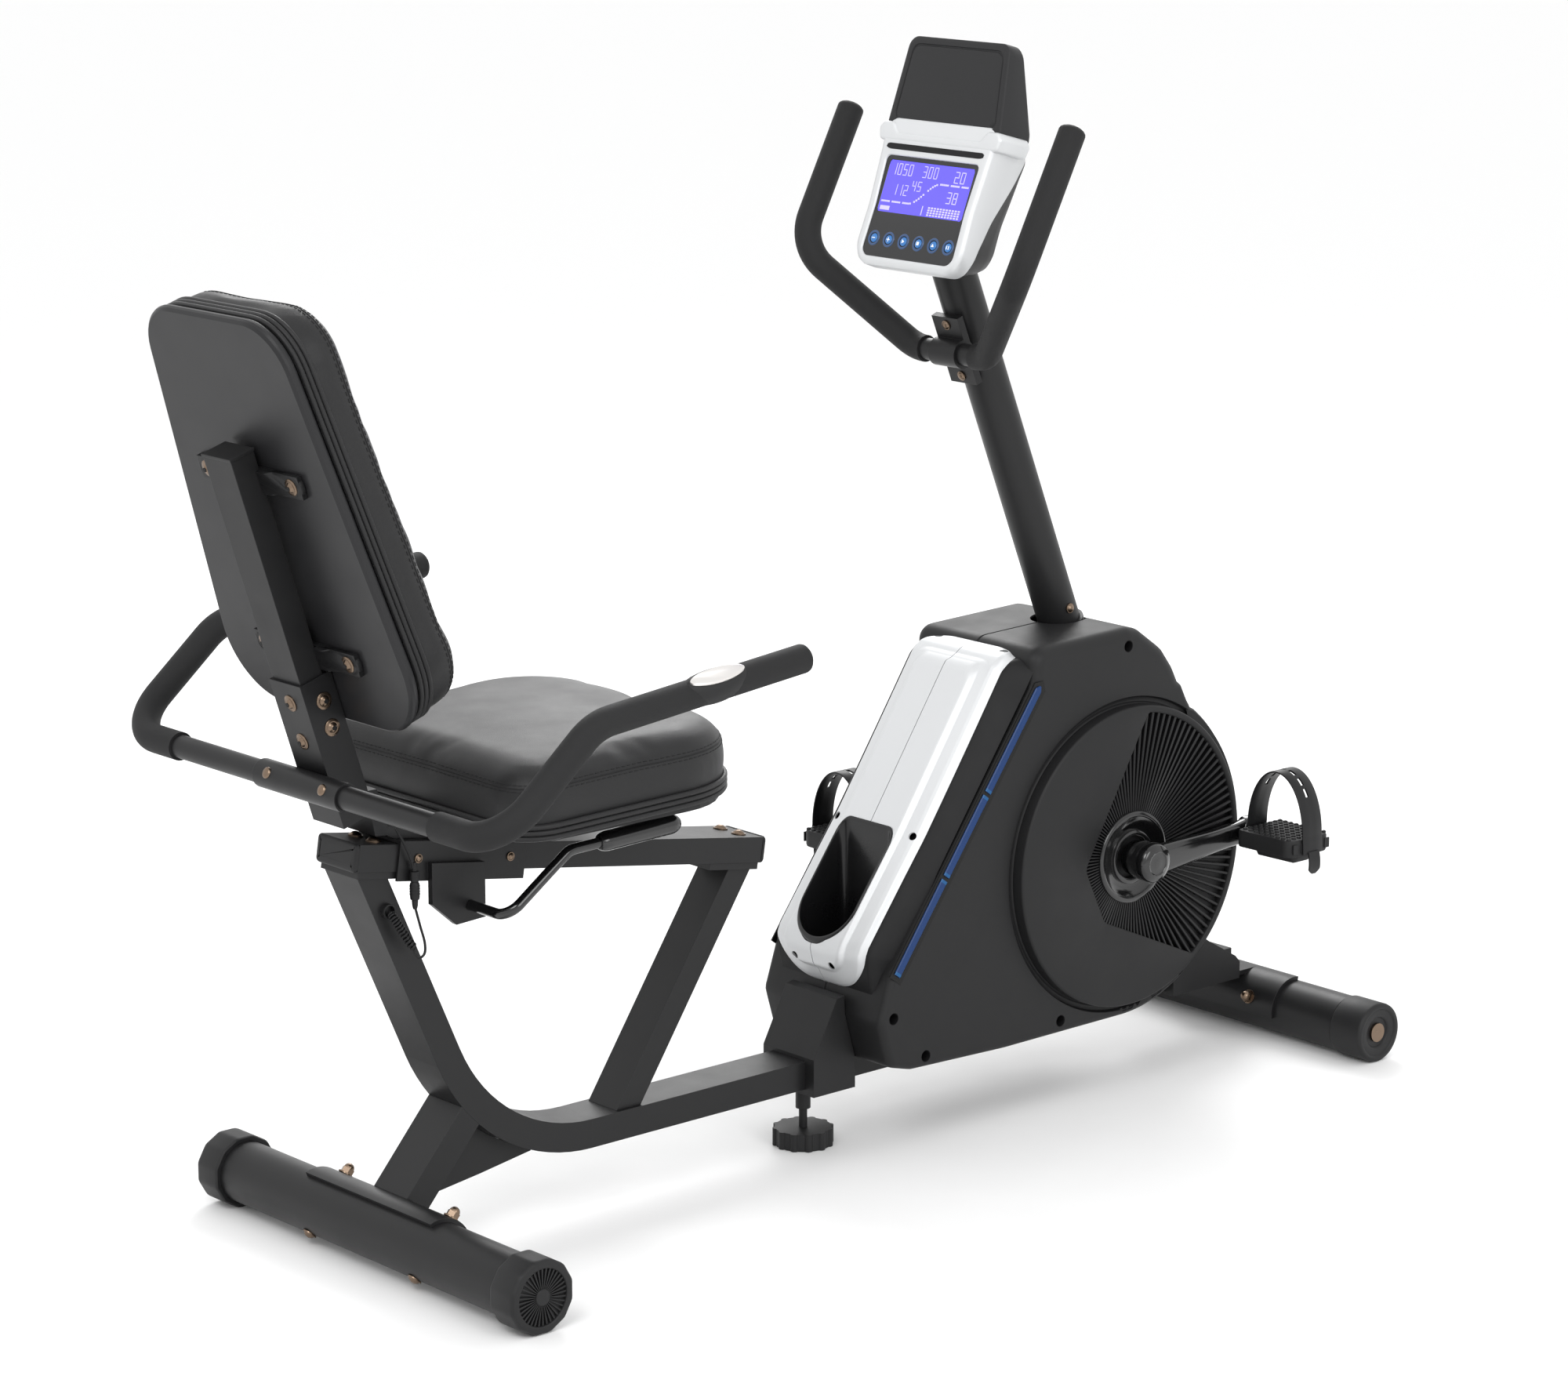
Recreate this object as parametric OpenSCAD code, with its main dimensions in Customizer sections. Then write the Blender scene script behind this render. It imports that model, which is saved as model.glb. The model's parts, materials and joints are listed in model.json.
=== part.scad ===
// Recumbent exercise bike, built from its separate pieces.
// X points forward, away from the rider's back, Y to the rider's left and Z up.
// The origin is on the floor, below the middle of the bike.

/* [Tube frame] */
// Width of the main tube across the bike
beam_w = 60; // [56:1:64]
// Depth of the main tube in the side view
beam_d = 34; // [32:1:36]
// Radius of the main tube's big bend, on its centreline
beam_bend = 220; // [215:1:225]
// Length of the seat rail
rail_len = 578; // [560:1:600]
// Width of the seat rail
rail_w = 70; // [66:1:74]
// Thickness of the seat rail
rail_t = 30; // [28:1:32]
// How far the seat rail dips towards the front, in degrees
rail_tilt = 9; // [8:0.5:10]

/* [Stabilizers] */
// Radius of the rear stabilizer tube
rear_r = 35.5; // [34:0.5:37]
// Half width across the rear end caps
rear_half = 292; // [280:1:300]
// Radius of the front stabilizer tube
front_r = 36; // [34:0.5:36]
// Half width across the front rollers
front_half = 240.5; // [230:0.5:250]
// Radius of a front transport roller
roller_r = 38; // [37:0.5:39]

/* [Drive] */
// Half thickness of the shroud
shroud_half = 105; // [100:1:110]
// Radius of the round side discs
disc_r = 188; // [180:1:192]
// Length of a crank arm, axle to pedal
crank_len = 172; // [165:1:175]
// How far the right crank arm points above level, in degrees
crank_rise = 3.8; // [0:0.1:10]
// Radius of the drive pulley
pulley_r = 115; // [105:1:120]
// Radius of the flywheel
flywheel_r = 100; // [90:1:104]

/* [Mast and console] */
// Radius of the mast tube
mast_r = 26; // [24:0.5:28]
// How far the mast leans towards the rider, in degrees
mast_tilt = 22.3; // [20:0.1:24]
// Radius of the bare handlebar tubes
bar_r = 13; // [12:0.5:13]
// Radius of the foam on the handlebars
foam_r = 16; // [15:0.5:18]
// Half width of the console housing
console_half = 98; // [94:1:102]

/* [Seat] */
// Half width of the seat cushion
seat_half = 200; // [190:1:210]
// Half width of the seat handle, to its tube's centre
handle_half = 336; // [325:1:336]
// How far the back panel leans back, in degrees
back_tilt = 18.8; // [17:0.1:20]

/* [Hidden] */
$fn = 48;

// Colours
satin_black = "#1b1b1c";
matt_black = "#232325";
silver = "#b4b7bb";
blue_glow = "#2a55c8";
bronze = "#8a7c66";
steel = "#9a9ca0";
vinyl = "#18181a";

// Tube frame: side-view points are [x, z]
leg_slope = 66.1;
beam_z = 96;
beam_corner = [-473.4, beam_z];
leg_run = 415;
beam_front = 722;
bend_tangent = beam_bend * tan(leg_slope / 2);
bend_centre = [beam_corner[0] + bend_tangent, beam_z + beam_bend];
beam_top = beam_z + beam_d / 2;
beam_low = beam_z - beam_d / 2;
strut_start = [-588.5, 57.5];
strut_slope = 48.8;
gusset = [[-563, 61], [-492, 142], [-400, 110], [-398, 84], [-470, 73]];
gusset_t = 5;
front_leg_foot = [-273.7, beam_top];
front_leg_slope = 56.3;
front_leg_w = 50;
front_leg_d = 30;
rail_start = [-648.5, 490.1];
rail_plate_t = 8;
rail_plate_half = 33;
rail_bolt_y = 16;
rail_bolt_s = [31, 556];
cap_t = 4;

// Stabilizers
rear_axis = [-610, 41.5];
rear_cap_r = 43;
rear_cap_len = 40;
saddle_t = 5;
rear_saddle_half = 115;
rear_saddle_span = 124;
rear_bolt_y = 97;
front_axis = [770, 38];
front_saddle_half = 95;
front_bolt_y = 54;
front_bolt_angle = 161;
roller_len = 50;
stub_r = 8;
bolt_r = 4;
bolt_gap = 0.25;
foot_x = 15;
foot_boss_r = 9;
foot_stem = 37;
fit_gap = 0.3;

// Drive
crank_axis = [446, 300];
axle_r = 10;
boss_out = 162;
boss_in = 138;
fly_axis = [262, 228];
fly_axle_r = 8;
small_pulley_r = 20;
belt_y = [36, 52];
belt_gap = 0.6;
belt_t = 2.5;
fork_plates = [[-30, -24], [14, 20]];
magnet_pivot = [252, 340];
magnet_pin_r = 4;
run_gap = 0.05;
pedal_in = 166;
pedal_out = 254;
spindle_r = 7;
pedal_len = 78;

// Shroud outlines in the side view, outer and inner faces of one 3 mm wall
wall = 3;
shroud_nose_r = 206;
shroud_edge = [[59, 108], [96, 98], [248, 93], [446, 94], [560, 131], [620, 240], [600, 420],
    [559, 469], [530, 523], [512, 548], [471, 577], [452, 582], [287, 577], [287, 535], [61, 222],
    [42, 165]];
shroud_inside = [[62, 110.5], [96.5, 101], [248, 96], [446, 97], [558, 134], [615, 240], [598, 418],
    [556, 467], [527.5, 521.5], [510, 545.5], [470, 574], [452, 579], [290, 574], [290, 534],
    [64, 221], [45, 165]];
cover_half = 80;
cover_edge = [[301, 579], [248, 565], [120, 374], [24, 245], [39, 189], [70, 181], [86, 240],
    [301, 551]];
cover_inside = [[297, 575], [250, 562], [123, 373], [27.5, 245.3], [42, 192], [71, 176],
    [92, 240], [297, 545]];
cup_x = [28, 121];
cup_half = 46;
cup_floor = 205;
cup_wall = 2.7;
strip_line = [[290, 535], [61, 222]];
strip_w = 9;
strip_t = 2;
disc_depth = 17;
screw_spots = [[64, 168], [116, 112], [340, 110], [447, 560]];
rear_collar = [[-8, 72], [-8, 118], [28, 186], [40, 188], [41, 166], [57.5, 108], [57.5, 72]];
front_collar = [[600, 76], [600, 160], [640, 152], [664, 136], [714, 107], [722, 98], [722, 76]];
collar_half = 45;

// Mast and console
mast_base = [432.8, 577.6];
mast_len = 506;
post_r = 30;
socket_len = 100;
post_len = 400;
post_web = [[495, beam_top], [520, beam_top], [588, 202], [560, 262], [530, 250]];
bar_local = [-39.52, 392.77];
bar_centre = [247.2, 926];
bar_path = [[256, 187, 1198], [174, 187, 1040], [bar_centre[0], 60, bar_centre[1]]];
bar_foam_start = 42;
panel_foot = [174.7, 1043];
panel_tilt = 21.24;
panel_t = 3;
panel_half = 76;
panel_len = 122;
screen_z = [50.5, 115.5];
screen_half = 72.5;
button_z = 19.3;
button_pitch = 25.2;
button_r = 5.5;
button_out = 1.5;
button_in = 4;
button_pocket = 8;
console_side = [[180, 1028], [177.6, 1042], [222, 1156.3], [245, 1192], [249.4, 1206], [290, 1196],
    [293, 1163], [262, 1132], [207, 1029]];
console_hump = [[200, 1030], [258, 1132], [288, 1163], [300, 1120], [276, 1030]];
hump_half = 38;
shelf_foot = [233, 1199];
shelf_tilt = 15;
shelf_wedge = [[0, 0], [52, 0], [52, 6], [24, 94], [0, 94]];
shelf_edge = [[-104, 0], [104, 0], [84, 94], [-84, 94]];

// Seat carriage
carriage_s = [51.6, 226];
carriage_t = 3;
carriage_drop = 40;
slide_gap = 0.3;
lever_pivot = [-511, 401];
lever_rod_r = 6;
lever_y = -112;
lever_tab = [[-562, 457], [-490, 446], [-490, 384], [-530, 382], [-562, 410]];
seat_wedge = [[-632, 545], [-618, 545], [-604, 500], [-300, 500], [-300, 484], [-424.6, 459.2],
    [-597, 486.5], [-606, 491.5], [-621, 493]];
seat_outline = [[-558, -200], [-558, 200], [-213, 200], [-213, -200]];
seat_low = 505;
seat_seam = 563;
seat_top = 588;
handle_path = [[-286, handle_half, 691], [-569.5, handle_half, 662.5], [-693.8, handle_half, 557]];
handle_foam_start = 233.6;
upright_ref = [-793.5, 917];
upright_tilt = 18;
upright_w = 50;
upright_d = 30;
upright_z = [-417, 3];
bracket_z = [-428, -257];
bracket_t = 3;
bracket_depth = 39;
back_ref = [-793.6, 1029.4];
panel_outline = [[-120, 44], [120, 44], [175, -427], [-175, -427]];
panel_corners = [60, 60, 75, 75];
board_t = 12;
pad_t = 68;
strap_levels = [-138.8, -345.8];

// Tube bends
bend_overlap = 1;
bend_swell = 0.05;
foam_bore = bar_r + 0.1;
foam_end = 4;

// Cord: hand-chosen route points
coil_r = 5;
coil_route = [[-612, -36, 410], [-611, -42, 403], [-605, -45, 392], [-597, -47, 378],
    [-589, -49, 366]];
lead_r = 2;
lead_route = [[-589, -49, 361], [-584, -50, 356], [-577, -50, 360], [-576, -49, 372],
    [-580, -47, 390], [-585, -45, 412]];
upper_lead_route = [[-585, -45, 441], [-588, -45, 462], [-598, -45, 485], [-609, -45, 504]];

function unit(v) = v / norm(v);
function turn_between(a, b) = acos(min(1, max(-1, a * b)));

// A polygon's corner as an arc of radius r, from the edge to p to the edge to n
function corner(p, c, n, r, steps) =
    let (u = unit(p - c), v = unit(n - c), half = turn_between(u, v) / 2,
        mid = c + unit(u + v) * r / sin(half), a = c + u * r / tan(half) - mid,
        b = c + v * r / tan(half) - mid, a0 = atan2(a[1], a[0]), a1 = atan2(b[1], b[0]),
        sweep = ((a1 - a0 + 540) % 360) - 180)
    [for (k = [0 : steps]) mid + r * [cos(a0 + sweep * k / steps), sin(a0 + sweep * k / steps)]];
function rounded(points, radii, steps) =
    let (n = len(points))
    [for (i = [0 : n - 1])
        each corner(points[(i + n - 1) % n], points[i], points[(i + 1) % n], radii[i], steps)];

// Outline round two pulleys at p and q: the loop of a belt with radii rp and rq
function loop_outline(p, rp, q, rq, steps) =
    let (d = q - p, lean = atan2(d[1], d[0]), a = acos((rp - rq) / norm(d)))
    concat(
        [for (k = [0 : steps]) let (t = lean + a + (360 - 2 * a) * k / steps)
            p + rp * [cos(t), sin(t)]],
        [for (k = [0 : steps]) let (t = lean - a + 2 * a * k / steps) q + rq * [cos(t), sin(t)]]);

module both_sides() {
    children();
    mirror([0, 1, 0]) children();
}
module at_xz(p) {
    translate([p[0], 0, p[1]]) children();
}
// Side-view shape made solid from y0 to y1
module side_slab(y0, y1) {
    translate([0, y1, 0]) rotate([90, 0, 0]) linear_extrude(y1 - y0) children();
}
module y_rod(r, y0, y1) {
    translate([0, y1, 0]) rotate([90, 0, 0]) cylinder(r = r, h = y1 - y0);
}
module y_ring(r_out, r_in, y0, y1) {
    difference() {
        y_rod(r_out, y0, y1);
        y_rod(r_in, y0 - 1, y1 + 1);
    }
}
module on_rail(s = 0) {
    at_xz(rail_start) rotate([0, rail_tilt, 0]) translate([s, 0, 0]) children();
}
module on_mast(up = 0) {
    at_xz(mast_base) rotate([0, -mast_tilt, 0]) translate([0, 0, up]) children();
}
module on_panel() {
    at_xz(panel_foot) rotate([0, panel_tilt, 0]) children();
}
module on_back() {
    at_xz(back_ref) rotate([0, -back_tilt, 0]) children();
}
module on_upright() {
    at_xz(upright_ref) rotate([0, -upright_tilt, 0]) children();
}
// Local +Z turned to point at an angle in the side view
module facing(angle) {
    rotate([0, 90 - angle, 0]) children();
}

// A tube swept along straight runs and round bends between 3-D points; r_in opens its bore.
// Each straight run reaches a little way into its bends, whose wall is a hair thicker.
module ring(r, r_in) {
    difference() {
        circle(r = r);
        if (r_in > 0) circle(r = r_in);
    }
}
module bend(p, a, b, turn_r, r, r_in) {
    turn = turn_between(a, b);
    n = unit(b - (a * b) * a);
    z = cross(a, n);
    c = p - a * turn_r * tan(turn / 2) + n * turn_r;
    multmatrix([[-n[0], a[0], z[0], c[0]], [-n[1], a[1], z[1], c[1]], [-n[2], a[2], z[2], c[2]],
        [0, 0, 0, 1]])
        rotate_extrude(angle = turn) translate([turn_r, 0]) ring(r, r_in);
}
module swept(points, radii, r, r_in = 0) {
    last = len(points) - 1;
    dirs = [for (i = [0 : last - 1]) unit(points[i + 1] - points[i])];
    cuts = [for (i = [0 : last]) i == 0 || i == last ? 0
        : radii[i] * tan(turn_between(dirs[i - 1], dirs[i]) / 2) - bend_overlap];
    for (i = [0 : last - 1]) {
        d = dirs[i];
        run = norm(points[i + 1] - points[i]) - cuts[i] - cuts[i + 1];
        translate(points[i] + d * cuts[i]) rotate([0, acos(d[2]), atan2(d[1], d[0])])
            linear_extrude(run) ring(r, r_in > 0 ? r_in + bend_swell : 0);
    }
    for (i = [1 : last - 1]) {
        bend(points[i], dirs[i - 1], dirs[i], radii[i], r + bend_swell, r_in);
    }
}
// One polyhedron swept along a smooth route, for cords
function route_point(p, i, t) =
    let (n = len(p) - 1, a = p[max(i - 1, 0)], b = p[i], c = p[min(i + 1, n)], d = p[min(i + 2, n)])
    0.5 * (2 * b + (c - a) * t + (2 * a - 5 * b + 4 * c - d) * t * t
        + (3 * b - a - 3 * c + d) * t * t * t);
function smooth_route(p, steps) = concat(
    [for (i = [0 : len(p) - 2]) for (k = [0 : steps - 1]) route_point(p, i, k / steps)],
    [p[len(p) - 1]]);
module cord_tube(points, r, sides, steps) {
    path = smooth_route(points, steps);
    n = len(path);
    rings = [for (i = [0 : n - 1])
        let (d = unit(path[min(i + 1, n - 1)] - path[max(i - 1, 0)]),
            u = unit(cross(d, [1, 0, 0.2])), v = cross(d, u))
        for (k = [0 : sides - 1])
            path[i] + r * (cos(360 * k / sides) * u + sin(360 * k / sides) * v)];
    skin = [for (i = [0 : n - 2]) for (k = [0 : sides - 1])
        [i * sides + k, (i + 1) * sides + k, (i + 1) * sides + (k + 1) % sides,
            i * sides + (k + 1) % sides]];
    first = [for (k = [0 : sides - 1]) k];
    final = [for (k = [0 : sides - 1]) n * sides - 1 - k];
    polyhedron(points = rings, faces = concat([first], skin, [final]), convexity = 4);
}

// Fasteners stand on z = 0 and point up
module dome_head(r = 8.5) {
    cylinder(r = r, h = 1.6);
    intersection() {
        translate([0, 0, 1.6 - r * 0.55]) sphere(r = r);
        translate([-r, -r, 1.6]) cube([2 * r, 2 * r, r]);
    }
}
module acorn_nut() {
    cylinder(r = 9, h = 1.6);
    translate([0, 0, 1.6]) cylinder(r = 7.5, h = 6, $fn = 6);
    translate([0, 0, 7.6]) sphere(r = 6.2);
}

module main_tube() color(satin_black) {
    difference() {
        at_xz(beam_corner + leg_run * [-cos(leg_slope), sin(leg_slope)])
            rotate([90, 0, 0]) rotate([0, 0, -leg_slope]) rotate([90, 0, 90])
                linear_extrude(leg_run - bend_tangent + bend_overlap)
                    square([beam_d, beam_w], center = true);
        on_rail() translate([-100, -60, -rail_t - rail_plate_t]) cube([300, 120, 120]);
    }
    at_xz(bend_centre) rotate([90, 0, 0]) rotate([0, 0, -90 - leg_slope])
        rotate_extrude(angle = leg_slope) translate([beam_bend, 0])
            square([beam_d + 2 * bend_swell, beam_w + 2 * bend_swell], center = true);
    translate([bend_centre[0] - bend_overlap, -beam_w / 2, beam_low])
        cube([beam_front - bend_centre[0] + bend_overlap, beam_w, beam_d]);
    on_rail(2) translate([0, -rail_plate_half, -rail_t - rail_plate_t])
        cube([72, 2 * rail_plate_half, rail_plate_t]);
    foot_boss();
}
module rear_strut() color(satin_black) {
    difference() {
        at_xz(strut_start) facing(strut_slope)
            translate([-beam_d / 2, -beam_w / 2, 0]) cube([beam_d, beam_w, 160]);
        at_xz(rear_axis) y_rod(rear_r + saddle_t, -60, 60);
        at_xz(bend_centre) y_rod(beam_bend + beam_d / 2 + bend_swell, -60, 60);
    }
    difference() {
        side_slab(-gusset_t / 2, gusset_t / 2) polygon(gusset);
        at_xz(bend_centre) y_rod(beam_bend + beam_d / 2 + bend_swell, -60, 60);
        translate([bend_centre[0], -10, beam_low]) cube([100, 20, 100]);
    }
}
module front_leg() color(satin_black) {
    difference() {
        at_xz(front_leg_foot) facing(front_leg_slope)
            translate([-front_leg_d / 2, -front_leg_w / 2, -30]) cube([front_leg_d, front_leg_w, 400]);
        translate([-400, -60, beam_top - 100]) cube([300, 120, 100]);
        on_rail() translate([400, -60, -rail_t - rail_plate_t]) cube([400, 120, 200]);
    }
    on_rail(rail_len - 75) translate([0, -rail_plate_half, -rail_t - rail_plate_t])
        cube([73, 2 * rail_plate_half, rail_plate_t]);
}
module seat_rail() color(satin_black) {
    on_rail() translate([0, -rail_w / 2, -rail_t]) cube([rail_len, rail_w, rail_t]);
}
module end_caps() color(matt_black) {
    on_rail(-cap_t) translate([0, -rail_w / 2, -rail_t]) cube([cap_t, rail_w, rail_t]);
    on_rail(rail_len) translate([0, -rail_w / 2, -rail_t]) cube([cap_t, rail_w, rail_t]);
    both_sides() at_xz(rear_axis) difference() {
        translate([0, rear_half, 0]) rotate([90, 0, 0]) rotate([0, 0, 15])
            cylinder(r = rear_cap_r, h = rear_cap_len, $fn = 12);
        y_rod(rear_r, rear_half - rear_cap_len - 1, rear_half - 6);
        y_ring(26, 8, rear_half - 2, rear_half + 1);
    }
}
module saddle(axis, r, half, from, span) {
    at_xz(axis) rotate([90, 0, 0]) rotate([0, 0, from]) translate([0, 0, -half])
        rotate_extrude(angle = span) translate([r, 0]) square([saddle_t, 2 * half]);
}
module stabilizer_saddles() color(satin_black) {
    difference() {
        saddle(rear_axis, rear_r, rear_saddle_half, strut_slope - rear_saddle_span / 2,
            rear_saddle_span);
        both_sides() at_xz(rear_axis) translate([0, rear_bolt_y, 0]) facing(strut_slope)
            cylinder(r = bolt_r + bolt_gap, h = 80);
    }
    difference() {
        saddle(front_axis, front_r, front_saddle_half, 78, 112);
        both_sides() at_xz(front_axis) translate([0, front_bolt_y, 0]) facing(front_bolt_angle)
            cylinder(r = bolt_r + bolt_gap, h = 80);
    }
    difference() {
        translate([690, -beam_w / 2, beam_low - 6]) cube([80, beam_w, 6]);
        at_xz(front_axis) y_rod(front_r + saddle_t, -60, 60);
    }
}
module rear_stabilizer() color(satin_black) {
    difference() {
        at_xz(rear_axis) y_rod(rear_r, -rear_half + 6, rear_half - 6);
        both_sides() at_xz(rear_axis) translate([0, rear_bolt_y, 0]) facing(strut_slope)
            translate([0, 0, -80]) cylinder(r = bolt_r + bolt_gap, h = 160);
    }
}
module front_stabilizer() color(satin_black) {
    inner = front_half - roller_len - 1;
    difference() {
        at_xz(front_axis) y_rod(front_r, -inner, inner);
        both_sides() at_xz(front_axis) translate([0, front_bolt_y, 0]) facing(front_bolt_angle)
            translate([0, 0, -80]) cylinder(r = bolt_r + bolt_gap, h = 160);
    }
    both_sides() at_xz(front_axis) y_rod(stub_r, inner, front_half - 5);
}
module stabilizer_bolt(axis, y, angle, r) {
    at_xz(axis) translate([0, y, 0]) facing(angle) {
        translate([0, 0, -r]) cylinder(r = bolt_r, h = 2 * r + saddle_t);
        translate([0, 0, r + saddle_t]) acorn_nut();
        mirror([0, 0, 1]) translate([0, 0, r]) dome_head();
    }
}
module frame_bolts() color(bronze) {
    both_sides() {
        stabilizer_bolt(rear_axis, rear_bolt_y, strut_slope, rear_r);
        stabilizer_bolt(front_axis, front_bolt_y, front_bolt_angle, front_r);
        at_xz(front_axis) translate([0, front_half - 5, 0]) rotate([-90, 0, 0])
            cylinder(r = 12, h = 3);
        for (s = rail_bolt_s) on_rail(s) translate([0, rail_bolt_y, 0]) dome_head();
        on_mast(22) translate([0, post_r - 4, 0]) rotate([-90, 0, 0]) dome_head(6);
    }
    for (z = [-34, 34]) on_mast(bar_local[1] + z) translate([-mast_r - 8, 0, 0])
        rotate([0, -90, 0]) dome_head(6);
}
module shroud_screws() color(matt_black) {
    both_sides() for (p = screw_spots) at_xz(p) y_rod(3, shroud_half - wall, shroud_half + 0.5);
}
module drive_frame() color(satin_black) {
    difference() {
        union() {
            translate([crank_axis[0] - 20, -20, beam_top]) cube([40, 40, crank_axis[1] - beam_top]);
            at_xz(crank_axis) y_rod(24, -30, 30);
        }
        at_xz(crank_axis) y_rod(17, -31, 31);
    }
    difference() {
        for (y = fork_plates) side_slab(y[0], y[1])
            polygon([[222, beam_top], [302, beam_top], [284, 240], [266, 352], [238, 352], [238, 240]]);
        at_xz(fly_axis) y_rod(13, -31, 31);
    }
    at_xz(magnet_pivot) y_rod(magnet_pin_r, fork_plates[0][0], fork_plates[1][1]);
    difference() {
        on_mast(-post_len) cylinder(r = post_r, h = post_len);
        on_mast(-socket_len) cylinder(r = mast_r, h = socket_len + 1);
    }
    difference() {
        side_slab(-15, 15) polygon(post_web);
        on_mast(-socket_len) cylinder(r = mast_r, h = socket_len + 1);
    }
}
module bearings() color(steel) {
    for (y = [[-30, -18], [18, 30]]) at_xz(crank_axis) y_ring(17, axle_r + run_gap, y[0], y[1]);
    for (y = fork_plates) at_xz(fly_axis) y_ring(13, fly_axle_r + run_gap, y[0], y[1]);
}
module mast_tube() color(satin_black) {
    on_mast(-socket_len) cylinder(r = mast_r, h = socket_len + mast_len);
}
module shroud_half_shell() {
    difference() {
        union() {
            side_slab(0, shroud_half) polygon(shroud_edge);
            at_xz(crank_axis) y_rod(shroud_nose_r, 0, shroud_half);
        }
        side_slab(-1, shroud_half - wall) polygon(shroud_inside);
        at_xz(crank_axis) y_rod(shroud_nose_r - wall, -1, shroud_half - wall);
        side_slab(-1, cover_half + 0.3) polygon(cover_edge);
        at_xz(crank_axis) y_rod(disc_r - 8, 0, shroud_half + 1);
        on_mast(-90) cylinder(r = post_r + 3, h = 150);
        translate([30, -1, beam_low - 1]) cube([660, beam_w / 2 + 1.5, beam_d + 2]);
        for (p = screw_spots) at_xz(p) y_rod(3, shroud_half - wall - 1, shroud_half + 1);
    }
}
module shroud_left() color(matt_black) shroud_half_shell();
module shroud_right() color(matt_black) mirror([0, 1, 0]) shroud_half_shell();
module cover_shell() {
    difference() {
        side_slab(0, cover_half) polygon(cover_edge);
        side_slab(-1, cover_half - wall) polygon(cover_inside);
        translate([0, 0, 150]) linear_extrude(300) cup_plan(fit_gap);
    }
}
module cover_left() color(silver) cover_shell();
module cover_right() color(silver) mirror([0, 1, 0]) cover_shell();
// The cup well from above: half round towards the rider, nearly square behind
module cup_plan(grow) {
    polygon(rounded([[cup_x[0] - grow, -cup_half - grow], [cup_x[0] - grow, cup_half + grow],
        [cup_x[1] + grow, cup_half + grow], [cup_x[1] + grow, -cup_half - grow]], [42, 42, 13, 13], 8));
}
module cup_holder() color(matt_black) {
    difference() {
        translate([0, 0, cup_floor - 3]) linear_extrude(200) cup_plan(0);
        translate([0, 0, cup_floor]) linear_extrude(200) cup_plan(-cup_wall);
        side_slab(-60, 60) polygon([[-40, 160], [24, 245.5], [122, 377], [122, 450], [-40, 450]]);
    }
}
module light_strips() color(blue_glow) {
    d = strip_line[1] - strip_line[0];
    both_sides() at_xz(strip_line[0]) rotate([0, -atan2(d[1], d[0]), 0])
        translate([0, shroud_half, -strip_w - 2]) cube([norm(d), strip_t, strip_w]);
}
module side_discs() color(matt_black) {
    both_sides() at_xz(crank_axis) difference() {
        y_rod(disc_r, shroud_half, shroud_half + disc_depth);
        y_rod(disc_r - wall, shroud_half - 1, shroud_half + disc_depth - wall);
        y_rod(26, shroud_half - 1, shroud_half + disc_depth + 1);
    }
}
module beam_collars() color(matt_black) {
    for (edge = [rear_collar, front_collar]) difference() {
        side_slab(-collar_half, collar_half) polygon(edge);
        translate([-20, -beam_w / 2, beam_low]) cube([800, beam_w, beam_d]);
        at_xz(crank_axis) y_rod(shroud_nose_r + fit_gap, -60, 60);
        translate([685, -beam_w / 2, beam_low - 6]) cube([60, beam_w, 6]);
        translate([foot_x, 0, 40]) cylinder(r = foot_boss_r + fit_gap, h = 60);
    }
}
module drive_belt() color("#101010") {
    difference() {
        side_slab(belt_y[0] + 2, belt_y[1] - 2) polygon(loop_outline(crank_axis,
            pulley_r + belt_gap + belt_t, fly_axis, small_pulley_r + belt_gap + belt_t, 40));
        side_slab(belt_y[0], belt_y[1]) polygon(loop_outline(crank_axis, pulley_r + belt_gap,
            fly_axis, small_pulley_r + belt_gap, 40));
    }
}
module tension_motor() color("#2c2c30") {
    translate([92, -28, beam_top]) cube([54, 56, 46]);
    translate([119, 0, beam_top + 46]) cylinder(r = 18, h = 10);
}
module handlebar() color(satin_black) {
    swept(concat(bar_path, [for (i = [2 : -1 : 0]) [bar_path[i][0], -bar_path[i][1], bar_path[i][2]]]),
        [0, 58, 36, 36, 58, 0], bar_r);
}
// A foam sleeve over a bent tube, open at the first point and closed past the last
module foam_sleeve(points, radii) {
    last = len(points) - 1;
    opened = concat([points[0] - unit(points[1] - points[0])], [for (i = [1 : last]) points[i]]);
    closed = concat([for (i = [0 : last - 1]) points[i]],
        [points[last] + foam_end * unit(points[last] - points[last - 1])]);
    difference() {
        swept(closed, radii, foam_r);
        swept(opened, radii, foam_bore);
    }
}
module handlebar_grips() color("#141414") both_sides() foam_sleeve(
    [[bar_centre[0], bar_foam_start, bar_centre[1]], bar_path[2], bar_path[1], bar_path[0]],
    [0, 36, 58, 0]);
module handlebar_clamp() color(satin_black) {
    on_mast(bar_local[1]) difference() {
        union() {
            translate([-mast_r - 8, -22, -44]) cube([9, 44, 88]);
            translate([bar_local[0], 0, 0]) y_rod(bar_r + 4, -22, 22);
        }
        translate([bar_local[0], 0, 0]) y_rod(bar_r, -30, 30);
        translate([0, 0, -100]) cylinder(r = mast_r, h = 200);
    }
}
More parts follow.
